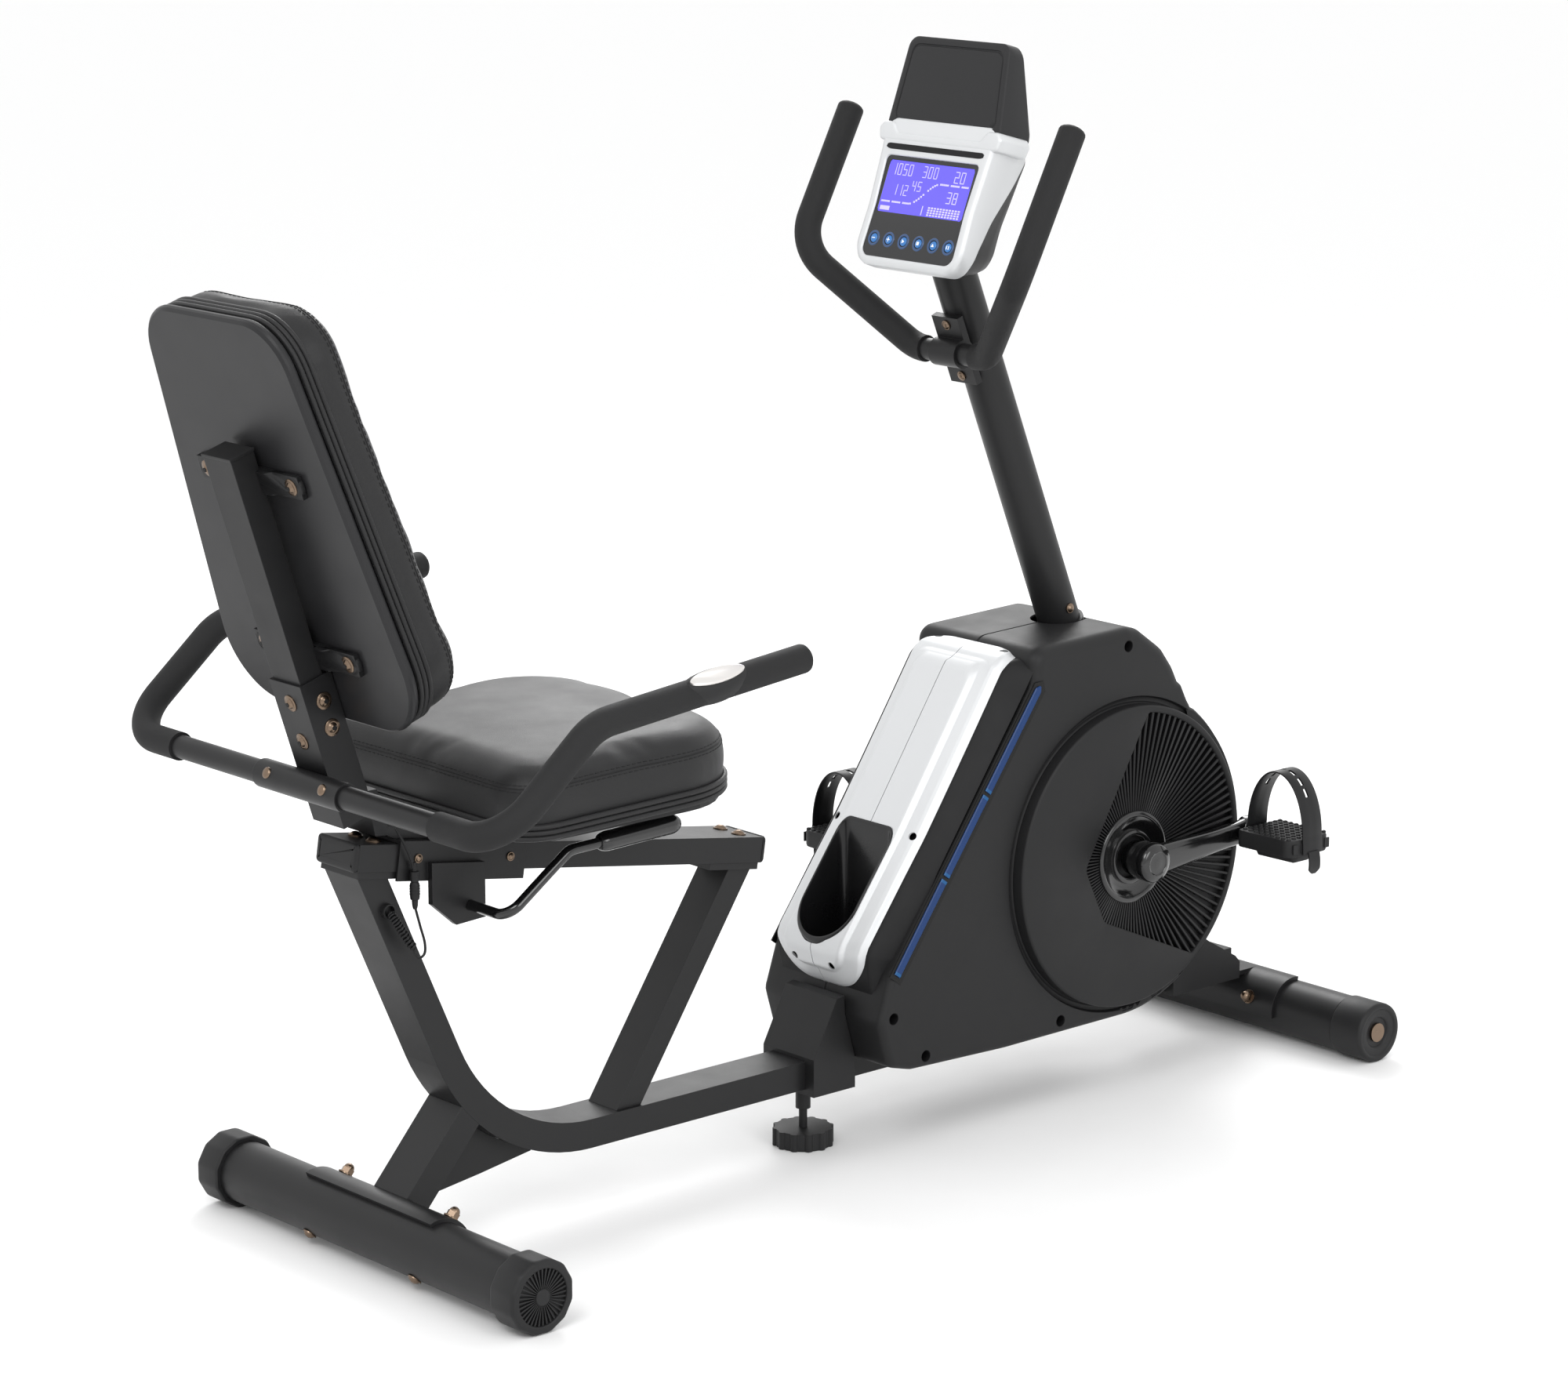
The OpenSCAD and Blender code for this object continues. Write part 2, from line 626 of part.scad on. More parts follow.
module console_housing() color(silver) {
    difference() {
        union() {
            side_slab(-console_half, console_half) polygon(console_side);
            side_slab(-hump_half, hump_half) polygon(console_hump);
        }
        on_mast(0) cylinder(r = mast_r, h = mast_len);
        at_xz(shelf_foot) rotate([0, shelf_tilt, 0]) side_slab(-110, 110) polygon(shelf_wedge);
        on_panel() for (i = [0 : 5]) translate([panel_t - 1, (i - 2.5) * button_pitch, button_z])
            rotate([0, 90, 0]) cylinder(r = button_r + 0.3, h = button_pocket);
    }
}
module console_panel() color("#0d0d10") {
    on_panel() difference() {
        translate([0, -panel_half, 0]) cube([panel_t, 2 * panel_half, panel_len]);
        for (i = [0 : 5]) translate([-1, (i - 2.5) * button_pitch, button_z])
            rotate([0, 90, 0]) cylinder(r = button_r + 0.3, h = panel_t + 2);
    }
}
module console_screen() color("#6a62c8") {
    on_panel() translate([-1, -screen_half, screen_z[0]])
        cube([1, 2 * screen_half, screen_z[1] - screen_z[0]]);
}
module button(i) color(blue_glow) {
    on_panel() translate([-button_out, (2.5 - i) * button_pitch, button_z]) rotate([0, 90, 0])
        cylinder(r = button_r, h = button_out + button_in);
}
module media_shelf() color(satin_black) {
    at_xz(shelf_foot) rotate([0, shelf_tilt, 0]) intersection() {
        rotate([90, 0, 90]) linear_extrude(60) polygon(rounded(shelf_edge, [6, 6, 12, 12], 6));
        side_slab(-110, 110) polygon(shelf_wedge);
    }
}
module cable_grommet() color(matt_black) {
    at_xz([coil_route[0][0], coil_route[0][2]]) y_ring(8, 6.4, -36, -30);
}
module curly_cord() color("#111111") cord_tube(coil_route, coil_r, 10, 3);
module sensor_lead() color("#111111") {
    cord_tube(lead_route, lead_r, 8, 3);
    translate([-585, -45, 412.2]) cylinder(r = 5.5, h = 28.6);
    cord_tube(upper_lead_route, lead_r, 8, 3);
}

module crank_arm(direction) {
    end = crank_len * [cos(crank_rise), sin(crank_rise)] * direction;
    across = 1 * [-sin(crank_rise), cos(crank_rise)];
    y0 = boss_in + 4;
    at_xz(crank_axis) {
        y_rod(24, boss_in, boss_out);
        side_slab(y0, boss_out - 4)
            polygon([15 * across, -15 * across, end - 13 * across, end + 13 * across]);
        at_xz(end) y_rod(17, y0, boss_out);
        at_xz(end) y_rod(spindle_r, boss_out, pedal_out - 8);
    }
}
module crank_arms() color("#0c0c0d") {
    at_xz(crank_axis) y_rod(axle_r, -boss_in, boss_in);
    crank_arm(-1);
    mirror([0, 1, 0]) crank_arm(1);
}
module drive_pulley() color(matt_black) {
    at_xz(crank_axis) difference() {
        y_rod(pulley_r, belt_y[0], belt_y[1]);
        y_ring(pulley_r - 8, 24, belt_y[0] - 1, belt_y[0] + 5);
        y_ring(pulley_r - 8, 24, belt_y[1] - 5, belt_y[1] + 1);
        y_rod(axle_r, belt_y[0] - 1, belt_y[1] + 1);
    }
}
module pedal_body(end) {
    at_xz(crank_axis + end) {
        difference() {
            translate([-pedal_len / 2, pedal_in, -12]) cube([pedal_len, pedal_out - pedal_in, 24]);
            y_rod(spindle_r + run_gap, pedal_in - 1, pedal_out - 6);
        }
        translate([-20, pedal_in + 12, -24]) cube([40, pedal_out - pedal_in - 24, 12]);
        strap_mid = (pedal_in + pedal_out) / 2;
        translate([-17, strap_mid, 12]) rotate([90, 0, 90]) linear_extrude(34) polygon(concat(
            [for (t = [0 : 10 : 180]) [44 * cos(t), 86 * sin(t)]],
            [for (t = [180 : -10 : 0]) [41 * cos(t), 83 * sin(t)]]));
    }
}
module pedal_left() color("#161616") pedal_body(-crank_len * [cos(crank_rise), sin(crank_rise)]);
module pedal_right() color("#161616") mirror([0, 1, 0])
    pedal_body(crank_len * [cos(crank_rise), sin(crank_rise)]);
module flywheel() color(steel) {
    at_xz(fly_axis) {
        difference() {
            y_rod(flywheel_r, -20, 8);
            y_ring(flywheel_r - 20, 24, -21, -11);
            y_ring(flywheel_r - 20, 24, -1, 9);
        }
        y_rod(fly_axle_r, -36, 58);
        y_rod(small_pulley_r, belt_y[0], belt_y[1]);
    }
}
module magnet_arm() color("#3a3a3e") {
    difference() {
        union() {
            at_xz(fly_axis) rotate([90, 0, 0]) rotate([0, 0, 97]) translate([0, 0, -6])
                rotate_extrude(angle = 63) translate([flywheel_r + 4, 0]) square([14, 24]);
            at_xz(magnet_pivot) y_rod(10, -18, 6);
        }
        at_xz(magnet_pivot) y_rod(magnet_pin_r + run_gap, -19, 7);
    }
}

module carriage() color(satin_black) {
    s0 = carriage_s[0];
    run = carriage_s[1] - s0;
    half = rail_w / 2 + slide_gap;
    on_rail(s0) {
        translate([0, -half - carriage_t, slide_gap]) cube([run, 2 * (half + carriage_t), 4]);
        both_sides() translate([0, half, -carriage_drop]) cube([run, carriage_t, carriage_drop + 1]);
    }
    difference() {
        side_slab(-46, -half - carriage_t) polygon(lever_tab);
        at_xz(lever_pivot) y_rod(lever_rod_r + run_gap, -50, -30);
    }
}
module seat_frame() color(satin_black) {
    side_slab(-upright_w / 2, upright_w / 2) polygon(seat_wedge);
    translate([0, 0, 500]) linear_extrude(seat_low - 500)
        polygon(rounded([for (p = seat_outline) [p[0] * 0.94 - 23, p[1] * 0.93]], [45, 45, 95, 95], 8));
}
module seat_cushion() color(vinyl) {
    translate([0, 0, seat_low]) linear_extrude(seat_seam - seat_low)
        polygon(rounded(seat_outline, [50, 50, 110, 110], 8));
    translate([0, 0, seat_seam]) linear_extrude(seat_top - seat_seam)
        polygon(rounded([for (p = seat_outline) [p[0] * 0.88 - 46, p[1] * 0.88]],
            [45, 45, 95, 95], 8));
}
module seat_handle() color(satin_black) {
    swept(concat(handle_path,
        [for (i = [2 : -1 : 0]) [handle_path[i][0], -handle_path[i][1], handle_path[i][2]]]),
        [0, 70, 55, 55, 70, 0], bar_r);
}
module seat_grips() color("#141414") both_sides() foam_sleeve(
    [[handle_path[2][0], handle_foam_start, handle_path[2][2]], handle_path[2], handle_path[1],
        handle_path[0]], [0, 55, 70, 0]);
module pulse_sensors() color(silver) {
    d = handle_path[0] - handle_path[1];
    mid = handle_path[1] + d * 0.56;
    both_sides() translate(mid) rotate([0, -atan2(d[2], d[0]), 0])
        translate([-36, -9, foam_r]) cube([72, 18, 3]);
}
module back_upright() color(satin_black) {
    on_upright() translate([0, -upright_w / 2, upright_z[0]])
        cube([upright_d, upright_w, upright_z[1] - upright_z[0]]);
    on_upright() translate([-1, -upright_w / 2 - 1, upright_z[1]])
        cube([upright_d + 2, upright_w + 2, 3]);
}
module back_bracket() color(satin_black) {
    high = bracket_z[1] - bracket_z[0];
    on_upright() {
        translate([-bracket_t, -upright_w / 2 - bracket_t, bracket_z[0]])
            cube([bracket_t, upright_w + 2 * bracket_t, high]);
        both_sides() translate([-bracket_t, upright_w / 2, bracket_z[0]])
            cube([bracket_depth + bracket_t, bracket_t, high]);
    }
    at_xz([handle_path[2][0], handle_path[2][2]]) y_ring(16, bar_r, -75, 75);
    for (z = strap_levels) on_back() translate([-6, -90, z - 13]) cube([6, 180, 26]);
}
module back_panel() color(matt_black) {
    on_back() rotate([90, 0, 90]) linear_extrude(board_t)
        polygon(rounded(panel_outline, panel_corners, 8));
}
module back_cushion() color(vinyl) {
    on_back() translate([board_t, 0, 0]) rotate([90, 0, 90]) {
        linear_extrude(46) polygon(rounded(panel_outline, panel_corners, 8));
        linear_extrude(pad_t) polygon(rounded([for (p = panel_outline) [p[0] * 0.84,
            p[1] * 0.9 - 20]], [50, 50, 60, 60], 8));
    }
}
module seat_bolts() color(bronze) {
    both_sides() {
        for (z = strap_levels) on_back() translate([-6, 75, z]) rotate([0, -90, 0]) dome_head(7);
        for (s = [77, 204]) on_rail(s) translate([0, rail_w / 2 + slide_gap + carriage_t, -15])
            rotate([-90, 0, 0]) dome_head(5);
        for (p = [[20, -284], [20, -316]]) on_upright()
            translate([p[0], upright_w / 2 + bracket_t, p[1]]) rotate([-90, 0, 0]) dome_head(7);
    }
    for (z = [-281, -327]) on_upright() translate([-bracket_t, 0, z]) rotate([0, -90, 0])
        dome_head(7);
}
module seat_lever() color("#0c0c0d") {
    swept([[lever_pivot[0], -38.8, lever_pivot[1]], [lever_pivot[0], lever_y, lever_pivot[1]],
        [-425, lever_y, 461], [-384, lever_y, 462]], [0, 20, 25, 0], lever_rod_r);
    translate([-384, lever_y, 462]) rotate([0, 88, 0]) rotate_extrude()
        polygon(concat([[0, 0]], [for (t = [0 : 10 : 90]) [7 + 4.5 * sin(t), 14 - 14 * cos(t)]],
            [for (t = [0 : 10 : 90]) [11.5 * cos(t), 100 + 16 * sin(t)]]));
}
module levelling_foot() color(matt_black) {
    translate([foot_x, 0, 0.5]) cylinder(r = 34, h = 21);
    translate([foot_x, 0, 21]) cylinder(r = 5, h = foot_stem);
    for (a = [0 : 30 : 330]) translate([foot_x, 0, 0.5]) rotate([0, 0, a]) translate([32, 0, 0])
        cylinder(r = 5, h = 21);
}
module foot_boss() {
    difference() {
        translate([foot_x, 0, 45]) cylinder(r = foot_boss_r, h = beam_low - 45);
        translate([foot_x, 0, 44]) cylinder(r = 5 + run_gap, h = beam_low - 43);
    }
}
module roller() {
    at_xz(front_axis) difference() {
        y_rod(roller_r, front_half - roller_len, front_half);
        y_rod(stub_r + run_gap, front_half - roller_len - 1, front_half + 1);
        y_rod(14, front_half - 6, front_half + 1);
    }
}
module roller_left() color(matt_black) roller();
module roller_right() color(matt_black) mirror([0, 1, 0]) roller();

main_tube();
rear_strut();
front_leg();
seat_rail();
end_caps();
stabilizer_saddles();
rear_stabilizer();
front_stabilizer();
frame_bolts();
shroud_screws();
drive_frame();
bearings();
mast_tube();
shroud_left();
shroud_right();
cover_left();
cover_right();
cup_holder();
light_strips();
side_discs();
beam_collars();
drive_belt();
tension_motor();
handlebar();
handlebar_grips();
handlebar_clamp();
console_housing();
console_panel();
console_screen();
media_shelf();
cable_grommet();
curly_cord();
sensor_lead();
crank_arms();
drive_pulley();
pedal_left();
pedal_right();
flywheel();
magnet_arm();
button(0);  // button_1
button(1);  // button_2
button(2);  // button_3
button(3);  // button_4
button(4);  // button_5
button(5);  // button_6
carriage();
seat_frame();
seat_cushion();
seat_handle();
seat_grips();
pulse_sensors();
back_upright();
back_bracket();
back_panel();
back_cushion();
seat_bolts();
seat_lever();
levelling_foot();
roller_left();
roller_right();
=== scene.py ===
# Looks of the recumbent exercise bike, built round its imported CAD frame.
# X points forward, Y to the rider's left, Z up. Sizes are millimetres; MM and mm() turn them to metres.
import json
import math

import bmesh
import bpy
from mathutils import Matrix, Vector
from mathutils.bvhtree import BVHTree
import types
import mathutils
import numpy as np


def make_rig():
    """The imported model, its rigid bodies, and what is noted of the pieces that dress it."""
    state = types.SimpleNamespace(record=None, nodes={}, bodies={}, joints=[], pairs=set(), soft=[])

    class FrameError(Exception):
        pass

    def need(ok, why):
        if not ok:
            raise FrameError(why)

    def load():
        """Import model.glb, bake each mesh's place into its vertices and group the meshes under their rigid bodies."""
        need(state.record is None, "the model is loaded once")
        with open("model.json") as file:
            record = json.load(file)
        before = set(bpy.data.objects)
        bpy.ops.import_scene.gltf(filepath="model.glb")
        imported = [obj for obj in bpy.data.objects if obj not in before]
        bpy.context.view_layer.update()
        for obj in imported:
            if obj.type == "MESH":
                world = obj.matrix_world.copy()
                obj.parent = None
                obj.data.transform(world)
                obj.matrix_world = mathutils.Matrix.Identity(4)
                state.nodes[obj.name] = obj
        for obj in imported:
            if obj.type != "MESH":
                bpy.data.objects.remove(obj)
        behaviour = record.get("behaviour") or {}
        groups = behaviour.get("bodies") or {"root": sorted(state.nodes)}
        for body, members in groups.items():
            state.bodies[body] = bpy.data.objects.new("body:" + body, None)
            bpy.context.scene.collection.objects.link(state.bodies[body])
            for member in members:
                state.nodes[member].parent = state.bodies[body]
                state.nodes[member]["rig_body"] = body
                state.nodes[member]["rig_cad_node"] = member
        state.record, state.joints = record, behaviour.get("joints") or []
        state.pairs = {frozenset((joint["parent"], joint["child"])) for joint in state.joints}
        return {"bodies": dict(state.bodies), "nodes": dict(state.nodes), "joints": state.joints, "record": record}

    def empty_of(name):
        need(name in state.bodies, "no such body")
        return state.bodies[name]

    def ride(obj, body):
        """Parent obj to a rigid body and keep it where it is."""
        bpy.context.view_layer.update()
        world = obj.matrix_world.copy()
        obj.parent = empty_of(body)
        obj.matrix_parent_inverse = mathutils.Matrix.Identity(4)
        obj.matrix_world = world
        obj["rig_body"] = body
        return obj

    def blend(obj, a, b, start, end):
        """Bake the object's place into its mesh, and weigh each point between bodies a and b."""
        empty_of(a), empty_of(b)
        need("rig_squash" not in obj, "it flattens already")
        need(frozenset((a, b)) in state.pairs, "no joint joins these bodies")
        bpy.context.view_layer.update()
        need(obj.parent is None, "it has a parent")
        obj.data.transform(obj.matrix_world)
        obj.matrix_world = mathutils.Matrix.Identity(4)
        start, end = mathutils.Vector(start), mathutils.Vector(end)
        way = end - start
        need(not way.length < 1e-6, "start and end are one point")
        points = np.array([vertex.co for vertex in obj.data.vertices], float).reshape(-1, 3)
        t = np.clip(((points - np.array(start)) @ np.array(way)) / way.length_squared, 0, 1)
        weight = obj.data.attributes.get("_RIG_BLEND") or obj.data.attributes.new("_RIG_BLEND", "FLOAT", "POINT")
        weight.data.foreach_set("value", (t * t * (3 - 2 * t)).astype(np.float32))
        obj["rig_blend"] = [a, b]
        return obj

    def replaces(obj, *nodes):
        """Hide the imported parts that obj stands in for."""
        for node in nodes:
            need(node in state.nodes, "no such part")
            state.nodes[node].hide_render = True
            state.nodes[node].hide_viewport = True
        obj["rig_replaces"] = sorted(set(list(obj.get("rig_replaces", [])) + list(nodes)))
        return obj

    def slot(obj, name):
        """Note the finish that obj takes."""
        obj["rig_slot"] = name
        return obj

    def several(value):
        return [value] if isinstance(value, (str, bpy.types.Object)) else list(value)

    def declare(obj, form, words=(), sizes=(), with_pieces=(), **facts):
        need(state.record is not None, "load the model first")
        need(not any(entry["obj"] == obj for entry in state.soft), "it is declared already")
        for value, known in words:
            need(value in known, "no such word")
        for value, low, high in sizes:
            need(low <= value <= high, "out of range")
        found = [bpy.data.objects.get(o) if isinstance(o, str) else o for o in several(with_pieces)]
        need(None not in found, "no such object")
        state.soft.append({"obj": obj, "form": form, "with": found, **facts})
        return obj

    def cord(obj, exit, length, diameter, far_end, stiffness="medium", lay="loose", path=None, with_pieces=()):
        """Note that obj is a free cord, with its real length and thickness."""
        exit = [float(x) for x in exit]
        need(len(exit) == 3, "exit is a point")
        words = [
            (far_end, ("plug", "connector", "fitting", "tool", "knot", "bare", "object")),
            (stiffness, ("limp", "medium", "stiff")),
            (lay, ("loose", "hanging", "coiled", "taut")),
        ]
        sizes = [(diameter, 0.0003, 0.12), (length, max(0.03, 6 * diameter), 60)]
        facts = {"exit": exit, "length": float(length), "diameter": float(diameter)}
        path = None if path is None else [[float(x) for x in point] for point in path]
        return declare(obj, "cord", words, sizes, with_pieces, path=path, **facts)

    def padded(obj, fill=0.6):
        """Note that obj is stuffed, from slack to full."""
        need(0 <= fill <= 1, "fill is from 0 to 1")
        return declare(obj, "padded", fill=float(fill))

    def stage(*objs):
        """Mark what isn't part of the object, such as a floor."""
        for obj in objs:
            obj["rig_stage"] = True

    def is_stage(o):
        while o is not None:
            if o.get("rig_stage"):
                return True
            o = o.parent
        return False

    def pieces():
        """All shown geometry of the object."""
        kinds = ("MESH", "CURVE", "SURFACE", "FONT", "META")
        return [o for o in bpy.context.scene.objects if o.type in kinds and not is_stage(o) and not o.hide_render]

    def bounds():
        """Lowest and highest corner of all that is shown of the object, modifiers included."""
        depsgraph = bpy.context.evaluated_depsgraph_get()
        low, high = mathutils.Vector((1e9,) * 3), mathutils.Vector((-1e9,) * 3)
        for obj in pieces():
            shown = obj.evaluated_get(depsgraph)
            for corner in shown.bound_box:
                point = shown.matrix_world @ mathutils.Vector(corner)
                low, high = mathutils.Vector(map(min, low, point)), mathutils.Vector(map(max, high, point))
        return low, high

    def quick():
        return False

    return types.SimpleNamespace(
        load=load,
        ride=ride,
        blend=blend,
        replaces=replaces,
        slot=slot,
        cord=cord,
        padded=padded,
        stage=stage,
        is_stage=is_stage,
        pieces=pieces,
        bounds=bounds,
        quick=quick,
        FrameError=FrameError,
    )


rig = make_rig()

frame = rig.load()
cad_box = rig.bounds()
MM = 0.001
NODES = frame["nodes"]


def mm(*p):
    return Vector(p) * MM


# ---------------------------------------------------------------- camera, light and floor
def add_object(name, data, location=(0, 0, 0)):
    obj = bpy.data.objects.new(name, data)
    obj.location = location
    bpy.context.collection.objects.link(obj)
    return obj


def add_camera():
    data = bpy.data.cameras.new("camera")
    data.lens = 104.5
    data.sensor_width = 36
    data.clip_end = 100
    camera = add_object("camera", data, (-3.4145, -3.8558, 1.7364))
    camera.rotation_euler = (math.radians(77), 0, math.radians(-41.4))
    bpy.context.scene.camera = camera


def add_light(name, location, target, size, power):
    data = bpy.data.lights.new(name, "AREA")
    data.shape = "DISK"
    data.size = size
    data.energy = power
    light = add_object(name, data, location)
    light.rotation_euler = (Vector(target) - Vector(location)).to_track_quat("-Z", "Y").to_euler()


def add_world():
    world = bpy.data.worlds.new("studio")
    world.use_nodes = True
    back = world.node_tree.nodes["Background"]
    back.inputs["Color"].default_value = (1, 1, 1, 1)
    back.inputs["Strength"].default_value = 1.13
    bpy.context.scene.world = world
    bpy.context.scene.view_settings.view_transform = "Standard"


# ---------------------------------------------------------------- materials
BLACK, BLACK_SHARE = 0.05, 0.52  # colours darker than the first are taken down to this share
PALE, DULL_HIGHLIGHT = 0.25, 0.28  # colours no brighter than the first get this weaker highlight


def feed(node, inputs):
    """Sets a node's inputs by name or number; another node's output is linked in."""
    for key, value in inputs.items():
        if isinstance(value, bpy.types.NodeSocket):
            node.id_data.links.new(value, node.inputs[key])
        else:
            node.inputs[key].default_value = value
    return node


def node_of(tree, kind, inputs, **settings):
    node = tree.nodes.new(kind)
    for key, value in settings.items():
        setattr(node, key, value)
    return feed(node, inputs)


def surface(name, colour, rough, metallic=0.0, coat=0.0, grain=900, bump=0.12, depth=0.0002, vary=0.25,
            rough_vary=0.12, edge=0.0, wear=0.0, pores=False, sheen=0.0):
    """A procedural material: mottled colour, grainy bump, uneven roughness and optional soft worn edges."""
    material = bpy.data.materials.new(name)
    material.use_nodes = True
    t = material.node_tree
    shader = t.nodes["Principled BSDF"]
    feed(shader, {"Metallic": metallic, "Specular IOR Level": 0.5 if max(colour) > PALE else DULL_HIGHLIGHT,
                  "Coat Weight": coat, "Coat Roughness": 0.12, "Sheen Weight": sheen})
    if max(colour) < BLACK:
        colour = [c * BLACK_SHARE for c in colour]
    where = t.nodes.new("ShaderNodeTexCoord").outputs["Object"]
    big, fine = (node_of(t, "ShaderNodeTexNoise", {"Vector": where, "Scale": float(scale), "Detail": detail,
                                                   "Roughness": 0.6}).outputs["Fac"]
                 for scale, detail in ((14, 5.0), (grain, 3.0)))
    soft = node_of(t, "ShaderNodeMath", {0: fine, 1: 0.4}, operation="MULTIPLY").outputs[0]
    blend = node_of(t, "ShaderNodeMath", {0: big, 1: 0.6, 2: soft}, operation="MULTIPLY_ADD").outputs[0]
    dark, light = ((*(min(1, c * (1 + v)) for c in colour), 1) for v in (-vary, vary))
    colour_out = node_of(t, "ShaderNodeMix", {0: blend, 6: dark, 7: light}, data_type="RGBA").outputs[2]
    uneven = node_of(t, "ShaderNodeMapRange", {"Value": big, "To Min": max(0.02, rough - rough_vary),
                                               "To Max": min(1, rough + rough_vary)})
    height = fine
    if pores:
        cells = node_of(t, "ShaderNodeTexVoronoi", {"Vector": where, "Scale": grain * 0.7},
                        feature="DISTANCE_TO_EDGE").outputs["Distance"]
        height = node_of(t, "ShaderNodeMath", {0: cells, 1: 1.6, 2: fine}, operation="MULTIPLY_ADD").outputs[0]
    relief = node_of(t, "ShaderNodeBump", {"Strength": bump, "Distance": depth, "Height": height})
    if edge:
        soft_edge = node_of(t, "ShaderNodeBevel", {"Radius": edge}, samples=4).outputs[0]
        feed(relief, {"Normal": soft_edge})
        if wear:
            normal = t.nodes.new("ShaderNodeNewGeometry").outputs["Normal"]
            dot = node_of(t, "ShaderNodeVectorMath", {0: soft_edge, 1: normal}, operation="DOT_PRODUCT")
            rub = node_of(t, "ShaderNodeMapRange", {"Value": dot.outputs["Value"], "From Min": 0.98,
                                                    "From Max": 0.75, "To Max": wear}).outputs[0]
            bare = (*(min(1, c * 3 + 0.03) for c in colour), 1)
            rubbed = node_of(t, "ShaderNodeMix", {0: rub, 6: colour_out, 7: bare}, data_type="RGBA")
            colour_out = rubbed.outputs[2]
    feed(shader, {"Base Color": colour_out, "Roughness": uneven.outputs[0], "Normal": relief.outputs[0]})
    return material


def glow(name, colour, strength):
    """A surface that gives off its own light."""
    material = surface(name, colour, 0.3, coat=0.4, grain=600, bump=0.02)
    feed(material.node_tree.nodes["Principled BSDF"], {"Emission Color": (*colour, 1),
                                                       "Emission Strength": strength})
    return material


paint = surface("satin_paint", (0.02, 0.02, 0.021), 0.42, grain=1500, bump=0.25, edge=0.0012, wear=0.35)
weld_paint = surface("bracket_paint", (0.016, 0.016, 0.017), 0.4, grain=1500, bump=0.25, edge=0.0008, wear=0.3)
black_plastic = surface("black_plastic", (0.021, 0.021, 0.022), 0.5, grain=2200, bump=0.35, edge=0.0010)
shell_plastic = surface("shroud_plastic", (0.017, 0.017, 0.018), 0.52, grain=2600, bump=0.35)
# painted shade: this black is darker than the shroud's and stands in for the shade in screw wells, the slot under the
# console band, hex sockets and the bed behind the cover
painted_shade_plastic = surface("recess_plastic", (0.008, 0.008, 0.009), 0.6, grain=2200, bump=0.25)
fin_plastic = surface("grille_plastic", (0.012, 0.012, 0.013), 0.36, grain=2200, bump=0.15)
silver = surface("silver_plastic", (0.60, 0.61, 0.62), 0.44, metallic=0.3, grain=3000, bump=0.1, vary=0.03,
                 rough_vary=0.05, coat=0.1)
bronze = surface("antique_bronze", (0.20, 0.145, 0.105), 0.3, metallic=1.0, grain=1200, bump=0.2, vary=0.25,
                 edge=0.0004)
bare_steel = surface("bare_steel", (0.5, 0.5, 0.52), 0.3, metallic=1.0, grain=1500, bump=0.15, edge=0.0006)
sensor_steel = surface("sensor_plate", (0.72, 0.70, 0.68), 0.3, metallic=0.9, grain=2500, bump=0.06, vary=0.04)
foam = surface("grip_foam", (0.021, 0.021, 0.022), 0.66, grain=2400, bump=0.6, depth=0.0003, vary=0.3,
               pores=True)
vinyl = surface("black_vinyl", (0.018, 0.018, 0.019), 0.43, grain=1300, bump=0.5, depth=0.00025, pores=True,
                vary=0.2, sheen=0.05)
thread = surface("seam_thread", (0.012, 0.012, 0.013), 0.6, grain=4000, bump=0.5)
gloss = surface("gloss_black", (0.006, 0.006, 0.0065), 0.16, coat=0.8, grain=500, bump=0.03, rough_vary=0.05,
                edge=0.0012)
panel_gloss = surface("panel_black", (0.012, 0.012, 0.014), 0.22, coat=0.5, grain=900, bump=0.04, edge=0.0005)
rubber = surface("cord_rubber", (0.012, 0.012, 0.013), 0.45, grain=2500, bump=0.3)
belt_rubber = surface("belt_rubber", (0.012, 0.012, 0.012), 0.7, grain=1500, bump=0.4)
blue = surface("blue_lens", (0.0006, 0.026, 0.115), 0.3, grain=700, bump=0.05, vary=0.35, rough_vary=0.06)
blue_edge = surface("blue_lens_edge", (0.003, 0.07, 0.20), 0.3, grain=700, bump=0.03)
# painted shade: the channel round the lenses is near-black to stand in for the shade of its recess, as it sits flush
# with the shroud
channel_painted_shade = surface("recess_black", (0.003, 0.003, 0.003), 0.5, grain=900, bump=0.1)
button_blue = surface("button_blue", (0.01, 0.14, 0.42), 0.3, coat=0.5, grain=900, bump=0.05, edge=0.0006)
icon_white = surface("icon_white", (0.8, 0.85, 0.9), 0.4, grain=900, bump=0.03, vary=0.03)
screen_blue = glow("display_blue", (0.075, 0.055, 0.82), 0.62)
segment_pale = glow("display_segment", (0.36, 0.33, 0.95), 0.75)
floor_white = surface("pale_floor", (0.86, 0.86, 0.86), 0.6, grain=60, bump=0.02, vary=0.01)

